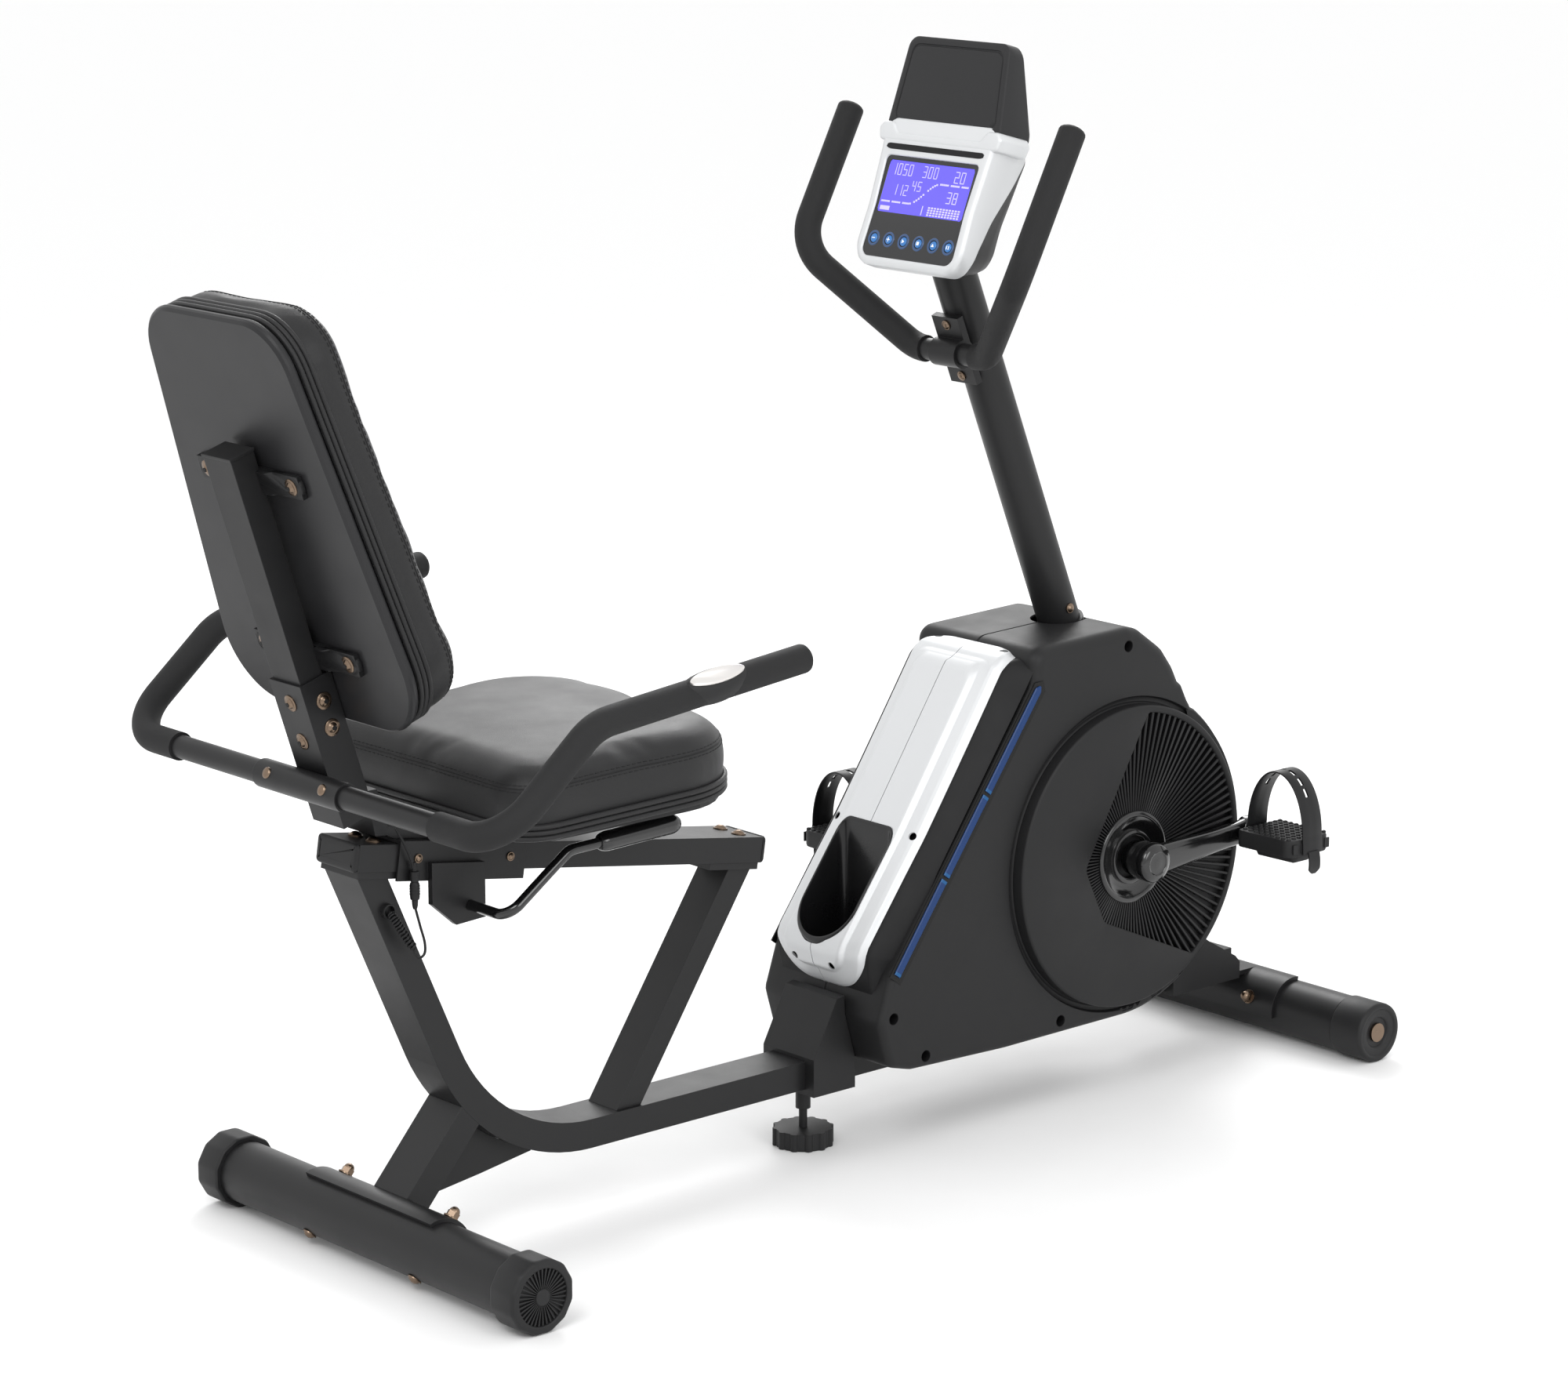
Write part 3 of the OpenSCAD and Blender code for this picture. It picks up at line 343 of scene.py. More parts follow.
NODE_LOOKS = {
    paint: ["main_tube", "rear_strut", "front_leg", "seat_rail", "rear_stabilizer", "front_stabilizer",
            "mast_tube", "drive_frame", "handlebar", "seat_handle", "back_upright", "seat_frame"],
    weld_paint: ["stabilizer_saddles", "handlebar_clamp", "carriage", "back_bracket"],
    black_plastic: ["end_caps", "beam_collars", "cup_holder", "side_discs", "media_shelf", "cable_grommet",
                    "pedal_left", "pedal_right", "back_panel", "levelling_foot", "roller_left", "roller_right",
                    "drive_pulley", "tension_motor", "shroud_left", "shroud_right"],
    painted_shade_plastic: ["shroud_screws"],
    silver: ["cover_left", "cover_right", "console_housing"],
    bronze: ["frame_bolts", "seat_bolts"],
    bare_steel: ["bearings", "flywheel", "magnet_arm"],
    blue: ["light_strips"],
    button_blue: ["button_%d" % i for i in range(1, 7)],
    belt_rubber: ["drive_belt"],
    foam: ["handlebar_grips", "seat_grips"],
    panel_gloss: ["console_panel"],
    screen_blue: ["console_screen"],
    rubber: ["curly_cord", "sensor_lead"],
    gloss: ["crank_arms", "seat_lever"],
    sensor_steel: ["pulse_sensors"],
    vinyl: ["seat_cushion", "back_cushion"],
}


def dress_nodes():
    for look, names in NODE_LOOKS.items():
        for name in names:
            slots = NODES[name].data.materials
            slots.clear()
            slots.append(look)


# ---------------------------------------------------------------- mesh helpers
def make(name, mesh_data, body, look, slot, replaces=(), sharp=0.6):
    """A smooth mesh piece from millimetre points, riding on a body; edges above the sharp angle stay crisp."""
    verts, faces = mesh_data
    mesh = bpy.data.meshes.new(name)
    mesh.from_pydata([Vector(v) * MM for v in verts], [], faces)
    bm = bmesh.new()
    bm.from_mesh(mesh)
    bmesh.ops.remove_doubles(bm, verts=bm.verts, dist=1e-6)
    bmesh.ops.recalc_face_normals(bm, faces=bm.faces)
    for f in bm.faces:
        f.smooth = True
    for e in bm.edges:
        if len(e.link_faces) == 2 and e.calc_face_angle(0) > sharp:
            e.smooth = False
    bm.to_mesh(mesh)
    bm.free()
    obj = add_object(name, mesh)
    mesh.materials.append(look)
    if body:
        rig.ride(obj, body)
    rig.slot(obj, slot)
    if replaces:
        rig.replaces(obj, *replaces)
    return obj


class Shape:
    """Gathers points and faces of one piece, so that a piece can hold repeats."""

    def __init__(self, *meshes):
        self.verts = []
        self.faces = []
        for mesh in meshes:
            self.add(mesh)

    def __iter__(self):
        return iter((self.verts, self.faces))

    def add(self, mesh):
        verts, faces = mesh
        base = len(self.verts)
        self.verts += [tuple(v) for v in verts]
        self.faces += [tuple(base + i for i in f) for f in faces]
        return self

    def mirrored(self):
        n = len(self.verts)
        self.verts += [(x, -y, z) for x, y, z in self.verts]
        self.faces += [tuple(n + i for i in reversed(f)) for f in self.faces]
        return self


def loft(rings, cap_first=True, cap_last=True, closed=True):
    n = len(rings[0])
    verts = [p for ring in rings for p in ring]
    span = n if closed else n - 1
    faces = [(i * n + k, i * n + (k + 1) % n, (i + 1) * n + (k + 1) % n, (i + 1) * n + k)
             for i in range(len(rings) - 1) for k in range(span)]
    if cap_first:
        faces.append(tuple(reversed(range(n))))
    if cap_last:
        faces.append(tuple(range(len(verts) - n, len(verts))))
    return verts, faces


def corner_path(points, radii, step=6.0):
    """Points along straight runs with round bends, in 2-D or 3-D."""
    pts = [Vector(p).to_3d() if len(p) == 2 else Vector(p) for p in points]
    out = [pts[0]]
    for i in range(1, len(pts) - 1):
        a = (pts[i] - pts[i - 1]).normalized()
        b = (pts[i + 1] - pts[i]).normalized()
        turn = a.angle(b)
        if radii[i] == 0 or turn < 0.01:
            out.append(pts[i])
            continue
        tangent = radii[i] * math.tan(turn / 2)
        start = pts[i] - a * tangent
        normal = (b - a * a.dot(b)).normalized()
        centre = start + normal * radii[i]
        count = max(3, int(radii[i] * turn / step) + 1)
        for k in range(count + 1):
            t = turn * k / count
            out.append(centre - normal * radii[i] * math.cos(t) + a * radii[i] * math.sin(t))
    out.append(pts[-1])
    return out


def closed_outline(points, radii, count):
    """A closed 2-D outline with rounded corners, as evenly spaced points."""
    n = len(points)
    raw = []
    for i in range(n):
        p, c, q = (Vector(points[(i + k - 1) % n]) for k in range(3))
        arc = corner_path([p, c, q], [0, radii[i], 0], 3.0)[1:-1] if radii[i] else [c.to_3d()]
        raw += [v.to_2d() for v in arc]
    return even(raw, count)


def round_corners(points, radii, step):
    """An outline with round bends at the corners that have a radius."""
    out = []
    for i, p in enumerate(points):
        if i in radii:
            arc = corner_path([points[i - 1], p, points[(i + 1) % len(points)]], [0, radii[i], 0], step)[1:-1]
            out += [q.to_2d() for q in arc] or [p]
        else:
            out.append(p)
    return out


def walk(points, shares):
    """Points at rising shares of a line's length, and that length."""
    lengths = [0.0]
    for a, b in zip(points, points[1:]):
        lengths.append(lengths[-1] + (b - a).length)
    out = []
    j = 0
    for share in shares:
        want = lengths[-1] * share
        while j < len(points) - 2 and lengths[j + 1] < want:
            j += 1
        t = (want - lengths[j]) / max(1e-9, lengths[j + 1] - lengths[j])
        out.append(points[j].lerp(points[j + 1], t))
    return out, lengths[-1]


def even(raw, count):
    """A closed outline as evenly spaced points."""
    return walk(raw + [raw[0]], [k / count for k in range(count)])[0]


def turning(outline):
    """1 where an outline runs anticlockwise, else -1."""
    return 1 if sum(a.x * b.y - b.x * a.y for a, b in zip(outline, outline[1:] + outline[:1])) > 0 else -1


def outward(outline):
    """Unit normals that point out of a closed outline."""
    sign = turning(outline)
    runs = [(outline[(i + 1) % len(outline)] - outline[i - 1]).normalized() for i in range(len(outline))]
    return [Vector((t.y, -t.x)) * sign for t in runs]


def inset_corners(points, distance):
    """A convex outline's corners after every edge has moved inwards."""
    pts = [Vector(p) for p in points]
    sign = turning(pts)
    out = []
    for i, b in enumerate(pts):
        u, w = (b - pts[i - 1]).normalized(), (pts[(i + 1) % len(pts)] - b).normalized()
        nu, nw = Vector((-u.y, u.x)) * sign, Vector((-w.y, w.x)) * sign
        half = (nu + nw).normalized()
        out.append(b + half * distance / max(0.2, half.dot(nu)))
    return out


def spline(points, steps):
    """Catmull-Rom points through 3-D points."""
    p = [Vector(q) for q in points]
    n = len(p)
    out = []
    for i in range(n - 1):
        a, b, c, d = (p[min(max(i + k - 1, 0), n - 1)] for k in range(4))
        for s in range(steps):
            t = s / steps
            out.append(0.5 * (2 * b + (c - a) * t + (2 * a - 5 * b + 4 * c - d) * t * t
                              + (3 * b - a - 3 * c + d) * t ** 3))
    return out + [p[-1]]


def heading(points, i, closed=False):
    """The direction of a line at one of its points."""
    last = len(points) - 1
    if closed:
        return (points[(i + 1) % (last + 1)] - points[i - 1]).normalized()
    return (points[min(i + 1, last)] - points[max(i - 1, 0)]).normalized()


def tube(path, radius, sides=16, closed=False, round_first=False, round_last=False):
    """A tube along a path; radius is a number or one value a point."""
    radii = list(radius) if hasattr(radius, "__len__") else [radius] * len(path)
    pts = list(path)
    for wanted, at, end, before in ((round_last, len(pts), -1, -2), (round_first, 0, 0, 1)):
        if not wanted:
            continue
        d = (path[end] - path[before]).normalized()
        r = radii[end]
        dome = [(path[end] + d * r * 0.5 * math.sin(a), max(r * math.cos(a), 0.01 * r))
                for a in (math.pi / 2 * k / 5 for k in range(1, 6))]
        if end == 0:
            dome.reverse()
        pts[at:at] = [p for p, _ in dome]
        radii[at:at] = [q for _, q in dome]
    rings = []
    side = None
    for i, (p, r) in enumerate(zip(pts, radii)):
        d = heading(pts, i, closed)
        side = d.orthogonal().normalized() if side is None else (side - d * side.dot(d)).normalized()
        other = d.cross(side)
        rings.append([p + r * (math.cos(a) * side + math.sin(a) * other) for a in angles(sides)])
    if closed:
        rings.append(rings[0])
    return loft(rings, cap_first=not closed, cap_last=not closed)


def prism(outline, low, high):
    """An upright solid on a plan outline."""
    return loft([[(*p, level) for p in outline] for level in (low, high)])


def side_view(x, z, y):
    return (x, y, z)


def block(low, high):
    x0, y0, z0 = low
    x1, y1, z1 = high
    return loft([[(x0, y0, z), (x1, y0, z), (x1, y1, z), (x0, y1, z)] for z in (z0, z1)])


def filled(outer, holes, level, to_3d):
    """A flat face with holes, as triangles."""
    bm = bmesh.new()
    for loop in [outer] + holes:
        vs = [bm.verts.new((p[0], p[1], 0)) for p in loop]
        for a, b in zip(vs, vs[1:] + vs[:1]):
            bm.edges.new((a, b))
    bmesh.ops.triangle_fill(bm, use_beauty=True, use_dissolve=False, edges=bm.edges)
    bm.verts.index_update()
    verts = [to_3d(v.co.x, v.co.y, level) for v in bm.verts]
    faces = [tuple(v.index for v in f.verts) for f in bm.faces]
    bm.free()
    return verts, faces


def angles(count):
    return [2 * math.pi * k / count for k in range(count)]


def circle(centre, r, count):
    return [Vector((centre[0] + r * math.cos(a), centre[1] + r * math.sin(a))) for a in angles(count)]


def stepped(outline, profile, to_3d):
    """A ring for each (inset, level) step of a profile round a closed outline."""
    normals = outward(outline)
    return [[to_3d(*(p - n * inset), level) for p, n in zip(outline, normals)] for inset, level in profile]


def turned(centre, profile, count, side=1, **caps):
    """Turns (radius, distance from the middle plane) points round a centre in side view."""
    rings = [[side_view(*p, side * level) for p in circle(centre, r, count)] for r, level in profile]
    return loft(rings, **caps)


def stud(at, direction, profile, count=24):
    """Turns (radius, level) points round a direction in space."""
    d = Vector(direction).normalized()
    u = d.orthogonal().normalized()
    w = d.cross(u)
    return loft([[at + d * level + r * (math.cos(a) * u + math.sin(a) * w) for a in angles(count)]
                 for r, level in profile])


def smooth_step(t):
    t = min(1, max(0, t))
    return t * t * (3 - 2 * t)


def tilt_frame(origin, degrees):
    """Turned about Y: local +Z leans towards +X by the angle."""
    return Matrix.Translation(origin) @ Matrix.Rotation(math.radians(degrees), 4, "Y")


add_camera()
add_world()
add_light("key", (-3.2, -1.6, 3.6), (-0.1, 0, 0.6), 2.2, 62)
add_light("fill", (-0.4, -4.2, 2.4), (0.1, 0, 0.5), 2.5, 60)
add_light("rim", (2.4, 2.6, 2.8), (0, 0, 0.6), 2.0, 60)

floor_mesh = bpy.data.meshes.new("floor")
floor_mesh.from_pydata([(-30, -30, 0), (30, -30, 0), (30, 30, 0), (-30, 30, 0)], [], [(0, 1, 2, 3)])
floor = add_object("floor", floor_mesh)
floor_mesh.materials.append(floor_white)
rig.stage(floor)
dress_nodes()

# ---------------------------------------------------------------- sensor cord
# Route points repeat part.scad's, in millimetres
COIL_ROUTE = [(-612, -36, 410), (-611, -42, 403), (-605, -45, 392), (-597, -47, 378), (-589, -49, 366)]
LEAD_ROUTE = [(-589, -49, 361), (-584, -50, 356), (-577, -50, 360), (-576, -49, 372), (-580, -47, 390),
              (-585, -45, 412)]
UPPER_ROUTE = [(-585, -45, 441), (-588, -45, 462), (-598, -45, 485), (-609, -45, 504)]
PLUG_SPOT = (-585, -45)
CORD_R = 1.5
COIL_R = 3.5
COIL_TURNS = 15


def sensor_cord():
    """Curly cord out of the leg, up to the plug and on to the seat handle's sensors."""
    core = spline(COIL_ROUTE, 24)
    n = len(core)
    route = []
    side = Vector((1, 0, 0))
    for i, p in enumerate(core):
        d = heading(core, i)
        side = (side - d * side.dot(d)).normalized()
        other = d.cross(side)
        for k in range(4):
            share = (i + k / 4) / n
            grow = min(1, share * 8, (1 - share) * 8)
            a = 2 * math.pi * COIL_TURNS * share
            q = p.lerp(core[min(i + 1, n - 1)], k / 4)
            route.append(q + COIL_R * grow * (math.cos(a) * side + math.sin(a) * other))
    route += spline(LEAD_ROUTE, 8) + spline([LEAD_ROUTE[-1], (*PLUG_SPOT, 426), UPPER_ROUTE[0]], 4)[1:]
    route += spline(UPPER_ROUTE, 8)[1:]
    clean = [route[0]]
    for p in route[1:]:
        if (p - clean[-1]).length > 0.35:
            clean.append(p)
    cord = make("sensor_cord", tube(clean, CORD_R, 8), None, rubber, "cord_rubber",
                replaces=["curly_cord", "sensor_lead"])
    length = sum((b - a).length for a, b in zip(clean, clean[1:])) * MM
    plug = Shape()
    steps = [((410, 414, 420, 421, 424, 438, 441), [2.2, 3.2, 3.6, 5.0, 5.4, 5.4, 3.6]),
             ((441, 442, 452, 453, 462), [4.6, 5.0, 5.0, 3.0, 2.2])]
    steps += [((z, z + 1.4), 5.8) for z in (426, 429, 432, 435)]
    for heights, radii in steps:
        plug.add(tube([Vector((*PLUG_SPOT, z)) for z in heights], radii, 20))
    socket = make("sensor_plug", plug, "frame", rubber, "cord_rubber")
    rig.cord(cord, exit=tuple(clean[0] * MM), length=round(length, 3), diameter=2 * CORD_R * MM, far_end="object",
            stiffness="limp", lay="hanging", path=[tuple(p * MM) for p in clean], with_pieces=[socket])
    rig.blend(cord, "frame", "seat", start=tuple(mm(*PLUG_SPOT, 440)), end=tuple(mm(*UPPER_ROUTE[-1])))


sensor_cord()

# ---------------------------------------------------------------- cushions
SEAT_OUTLINE = [(-558, -200), (-558, 200), (-213, 200), (-213, -200)]
SEAT_CORNERS = [50, 50, 110, 110]
BACK_OUTLINE = [(-120, 44), (120, 44), (175, -427), (-175, -427)]
BACK_CORNERS = [60, 60, 75, 75]
BACK_REF = mm(-793.6, 0, 1029.4) / MM
BACK_TILT = -18.8
DEEP_INSET = 40  # past this a pad's rings draw in towards its centre
RAY_START = 40  # how far outside a pad the rays at its side start
STITCH, STITCH_GAP, STITCH_R = 4.2, 2.6, 0.55


def subdivide(obj):
    mod = obj.modifiers.new("subdivide", "SUBSURF")
    mod.levels = 1
    mod.use_limit_surface = False
    apply_modifiers(obj)


def inflate(obj, cap):
    """Puffs a closed pad up with cloth pressure, holding every point within cap millimetres of its start."""
    remesh = obj.modifiers.new("remesh", "REMESH")
    remesh.mode = "VOXEL"
    remesh.voxel_size = 0.006
    apply_modifiers(obj)
    start = [v.co.copy() for v in obj.data.vertices]
    cloth = obj.modifiers.new("cloth", "CLOTH")
    cloth.settings.use_pressure = True
    cloth.settings.uniform_pressure_force = 4
    cloth.settings.effector_weights.gravity = 0
    cloth.settings.tension_stiffness = 20
    cloth.settings.compression_stiffness = 20
    cloth.settings.bending_stiffness = 4
    scene = bpy.context.scene
    for number in range(1, 21):
        scene.frame_set(number)
    shaped = obj.evaluated_get(bpy.context.evaluated_depsgraph_get()).to_mesh()
    moved = [v.co.copy() for v in shaped.vertices]
    obj.modifiers.remove(cloth)
    scene.frame_set(1)
    for v, a, b in zip(obj.data.vertices, start, moved):
        step = b - a
        if step.length > cap * MM:
            step *= cap * MM / step.length
        v.co = a + step
    bm = bmesh.new()
    bm.from_mesh(obj.data)
    for _ in range(3):
        bmesh.ops.smooth_vert(bm, verts=bm.verts, factor=0.5, use_axis_x=True, use_axis_y=True, use_axis_z=True)
    bm.to_mesh(obj.data)
    bm.free()
    subdivide(obj)
    obj.data.shade_smooth()


def apply_modifiers(obj):
    graph = bpy.context.evaluated_depsgraph_get()
    graph.update()
    mesh = bpy.data.meshes.new_from_object(obj.evaluated_get(graph))
    obj.modifiers.clear()
    old = obj.data
    obj.data = mesh
    bpy.data.meshes.remove(old)


def pad_rings(outline, levels, to_3d):
    """Rings of a closed pad from (inset, level) steps; deep insets draw in towards the centre instead."""
    normals = outward(outline)
    centre = sum(outline, Vector((0, 0))) / len(outline)
    rings = []
    for inset, level in levels:
        share = min(0.97, max(0, inset - DEEP_INSET) / 130)
        rings.append([to_3d(*(p - n * min(inset, DEEP_INSET)).lerp(centre, share), level)
                      for p, n in zip(outline, normals)])
    return rings


def seat_point(a, b, level):
    """The seat pad rises a little towards the front."""
    return (a, b, level + (a + 385) * 0.022)


BACK_FRAME = tilt_frame(BACK_REF, BACK_TILT)


def back_point(a, b, level):
    return tuple(BACK_FRAME @ Vector((level, a, b)))


def side_ray(tree, p, n, level, to_3d):
    """Start and direction of a ray at a pad's side, and how far it goes before it meets the pad (or None)."""
    far = Vector(to_3d(*(p + n * RAY_START), level))
    way = (Vector(to_3d(*p, level)) - far).normalized()
    reach = tree.ray_cast(far * MM, way, 0.12)[3]
    return far, way, None if reach is None else reach / MM


def around_pad(tree, outline, level, to_3d):
    """A smooth loop that hugs a pad's side at one level."""
    path = []
    for p, n in list(zip(outline, outward(outline)))[::4]:
        far, way, reach = side_ray(tree, p, n, level, to_3d)
        path.append(far + way * (min(RAY_START if reach is None else reach, RAY_START + 4) - 0.6))
    for _ in range(3):
        path = [(a + b * 2 + c) / 4 for a, b, c in zip(path[-1:] + path[:-1], path, path[1:] + path[:1])]
    return path


def stitches(tree, outline, level, to_3d):
    """A row of short raised stitches laid on a pad's side along one level."""
    shape = Shape()
    walked = 0.0
    for p, q, n in zip(outline, outline[1:] + outline[:1], outward(outline)):
        walked += (q - p).length
        if walked < STITCH + STITCH_GAP:
            continue
        walked = 0.0
        rays = [side_ray(tree, point, n, level, to_3d) for point in (p, p + (q - p).normalized() * STITCH)]
        if any(reach is None for _, _, reach in rays):
            continue
        ends = [far + way * (reach - 0.15) for far, way, reach in rays]
        if (ends[1] - ends[0]).length < 3 * STITCH:
            shape.add(tube(ends, STITCH_R, 6, round_first=True, round_last=True))
    return shape


def tree_of(obj):
    points = [v.co for v in obj.data.vertices]
    return BVHTree.FromPolygons(points, [tuple(f.vertices) for f in obj.data.polygons if len(f.vertices) < 5])


def make_pad(name, outline, base, seam, top, to_3d, node, cap):
    """A pad with a stack of piping at its base, a stitched seam near its top edge and a crowned face."""
    levels = [(10, base + 2), (4, base + 1), (1, base + 6), (1, base + 18), (0, base + 24),
              (-1, (base + seam) / 2 + 6), (2, seam - 4), (8, seam + 4), (20, seam + (top - seam) * 0.52),
              (40, seam + (top - seam) * 0.76), (90, top - 4), (150, top - 2)]
    pad = make(name, loft(pad_rings(outline, levels, to_3d)), "seat", vinyl, "vinyl", replaces=[node],
               sharp=3.2)
    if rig.quick():
        subdivide(pad)
    else:
        inflate(pad, cap)
    tree = tree_of(pad)
    fine = even(outline, 720)
    piping = Shape(*(tube(around_pad(tree, fine, base + 5 + 6.2 * k, to_3d), 3.0, 10, closed=True)
                     for k in range(3)))
    rows = Shape(*(stitches(tree, fine, level, to_3d) for level in (seam - 6, seam + 1)))
    rays = [side_ray(tree, p, n, seam - 2.5, to_3d) for p, n in list(zip(fine, outward(fine)))[::4]]
    fold = tube([far + way * reach for far, way, reach in rays if reach is not None], 0.9, 6, closed=True)
    for part, mesh, look in (("_piping", piping, vinyl), ("_stitching", rows, thread), ("_seam", fold, thread)):
        make(name + part, mesh, "seat", look, "vinyl", sharp=3.2)
    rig.padded(pad, fill=0.75)


seat_ring = closed_outline(SEAT_OUTLINE, SEAT_CORNERS, 180)
back_ring = closed_outline(BACK_OUTLINE, BACK_CORNERS, 180)
make_pad("seat_pad", seat_ring, 505, 566, 588, seat_point, "seat_cushion", 6)
make_pad("back_pad", back_ring, 13, 66, 80, back_point, "back_cushion", 6)


def back_board():
    """Thin moulded board behind the back pad, with a rolled edge."""
    edge = [(4, 0.4), (2.5, 1.2), (0.6, 3.2), (-0.4, 6), (0, 9), (2, 12), (8, 12.5), (9, 22), (14, 23)]
    make("back_board", loft(stepped(back_ring, edge, back_point)), "seat", board_look, "black_plastic",
         replaces=["back_panel"], sharp=0.35)


board_look = surface("board_black", (0.026, 0.026, 0.028), 0.36, grain=1800, bump=0.45, depth=0.0002)
back_board()

# ---------------------------------------------------------------- foam grips
BAR_TIP, BAR_CORNER, BAR_INNER = (256, 187, 1198), (174, 187, 1040), (247.2, 60, 926)
HANDLE_TIP, HANDLE_KNEE, HANDLE_CORNER = (-286, 336, 691), (-569.5, 336, 662.5), (-693.8, 336, 557)
FOAM_R = 16.0


def foam_grips():
    """Foam sleeves with a rounded closed end, on the handlebar and on the seat's handles."""
    bar = [(BAR_INNER[0], 42, BAR_INNER[2]), BAR_INNER, BAR_CORNER, BAR_TIP]
    handle = [(-693.8, 233.6, 557), HANDLE_CORNER, HANDLE_KNEE, HANDLE_TIP]
    for name, points, radii, body, node in (("bar_grips", bar, [0, 36, 58, 0], "frame", "handlebar_grips"),
                                            ("handle_grips", handle, [0, 55, 70, 0], "seat", "seat_grips")):
        sleeve_mesh = tube(corner_path(points, radii, 5), FOAM_R, 32, round_last=True)
        make(name, Shape(sleeve_mesh).mirrored(), body, foam, "foam", replaces=[node], sharp=1.0)


foam_grips()


def pulse_sensors():
    """Oval black housings on the handle grips, each with a steel plate that leans outwards."""
    knee, tip = Vector(HANDLE_KNEE), Vector(HANDLE_TIP)
    along = (tip - knee).normalized()
    mid = knee + (tip - knee) * 0.56
    lean = math.radians(32)
    top, out = Vector((-along.z, 0, along.x)), Vector((0, 1, 0))
    up = top * math.cos(lean) + out * math.sin(lean)
    side = out * math.cos(lean) - top * math.sin(lean)
    half = 18.2
    housing, plate = [], []
    for level, grow in ((-9, 0.80), (-4, 0.93), (3, 1.0), (9, 0.98), (14, 0.90), (17.5, 0.78), (18.6, 0.66)):
        ring = []
        for a in angles(40):
            w = half * grow * math.sin(a)
            lift = level - (w / half) ** 2 * max(0, level) * 0.35
            ring.append(mid + along * (47 * grow * math.cos(a)) + side * w + up * lift)
        housing.append(ring)
    for level, grow in ((15.5, 1.0), (19.2, 0.99), (20.0, 0.93)):
        plate.append([mid + along * (37 * grow * math.cos(a)) + side * (9.8 * grow * math.sin(a)) + up * level
                      for a in angles(40)])
    make("sensor_housings", Shape(loft(housing)).mirrored(), "seat", black_plastic, "black_plastic", sharp=1.2)
    make("sensor_plates", Shape(loft(plate)).mirrored(), "seat", sensor_steel, "sensor_plate",
         replaces=["pulse_sensors"], sharp=0.9)


pulse_sensors()

# ---------------------------------------------------------------- shroud
CRANK = (446, 300)
SHROUD_HALF = 105
NOSE_R = 206
RECESS_R = 197
SCREW_SPOTS = [(64, 168), (116, 112), (340, 110), (447, 560)]
# Outer side-view outline from the rear foot, along the bottom, round the nose and over the top
SHROUD_LOW = [(42, 165), (59, 108), (96, 98), (248, 93), (440, 94)]
SHROUD_HIGH = [(512, 548), (471, 577), (452, 582), (288, 577), (288, 534), (61, 222)]


def shroud_outline():
    """The outline in side view, as evenly spaced points with a bend at each corner."""
    start, end = math.radians(-88), math.radians(52)
    nose = [(CRANK[0] + NOSE_R * math.cos(a), CRANK[1] + NOSE_R * math.sin(a))
            for a in (start + (end - start) * k / 48 for k in range(49))]
    raw = [Vector(p) for p in SHROUD_LOW + nose + [(560, 468), (532, 522)] + SHROUD_HIGH]
    n = len(raw)
    corner_r = {0: 14, 1: 12, 2: 20, 3: 30, 4: 30, n - 8: 30, n - 7: 30, n - 6: 22, n - 5: 22, n - 4: 8,
                n - 3: 20, n - 2: 14, n - 1: 10}
    return even(round_corners(raw, corner_r, 4), 300)


def edge_radius(p):
    """How softly the side wall rolls into the rim at this point of the outline."""
    if p.x < 320 and p.y > 225:
        return 7 + 9 * smooth_step((p.y - 500) / 50)
    if p.y > 500:
        return 16
    if p.x > 560:
        return 14
    return 9


def shroud_half(side):
    """One moulded half: a rim, a rolled edge, a flat side face and the stepped ring round the disc."""
    ring = shroud_outline()
    normals = outward(ring)
    rings = stepped(ring, [(1.2, 0.4), (0, 1.6), (0, 40), (0, 80)], lambda a, b, y: (a, b, y))
    for a in (math.pi / 2 * k / 6 for k in range(7)):
        rings.append([(*(p - n * r * (1 - math.cos(a))), SHROUD_HALF - r + r * math.sin(a))
                      for p, n, r in zip(ring, normals, map(edge_radius, ring))])
    shape = Shape(loft([[side_view(a, b, side * c) for a, b, c in row] for row in rings], cap_first=False,
                       cap_last=False))
    last = [Vector(row[:2]) for row in rings[-1]]
    shape.add(filled(last, [circle(CRANK, RECESS_R, 144)], side * SHROUD_HALF, side_view))
    groove = [(RECESS_R - drop, level) for drop, level in (
        (0, 105), (0.8, 104.2), (2.2, 100.5), (5.5, 99.2), (7.2, 99.6), (8.2, 101.4), (9.5, 102.6), (27, 102.6))]
    shape.add(turned(CRANK, groove, 144, side, cap_first=False, cap_last=False))
    name = "shroud_left" if side > 0 else "shroud_right"
    obj = make(name + "_shell", shape, "frame", shell_plastic, "black_plastic", replaces=[name], sharp=0.9)
    thicken(obj, 2.4)
    cut_rear(obj, side)
    sharpen(obj, 0.7)


def thicken(obj, wall):
    solid = obj.modifiers.new("wall", "SOLIDIFY")
    solid.thickness = wall * MM
    solid.offset = -1


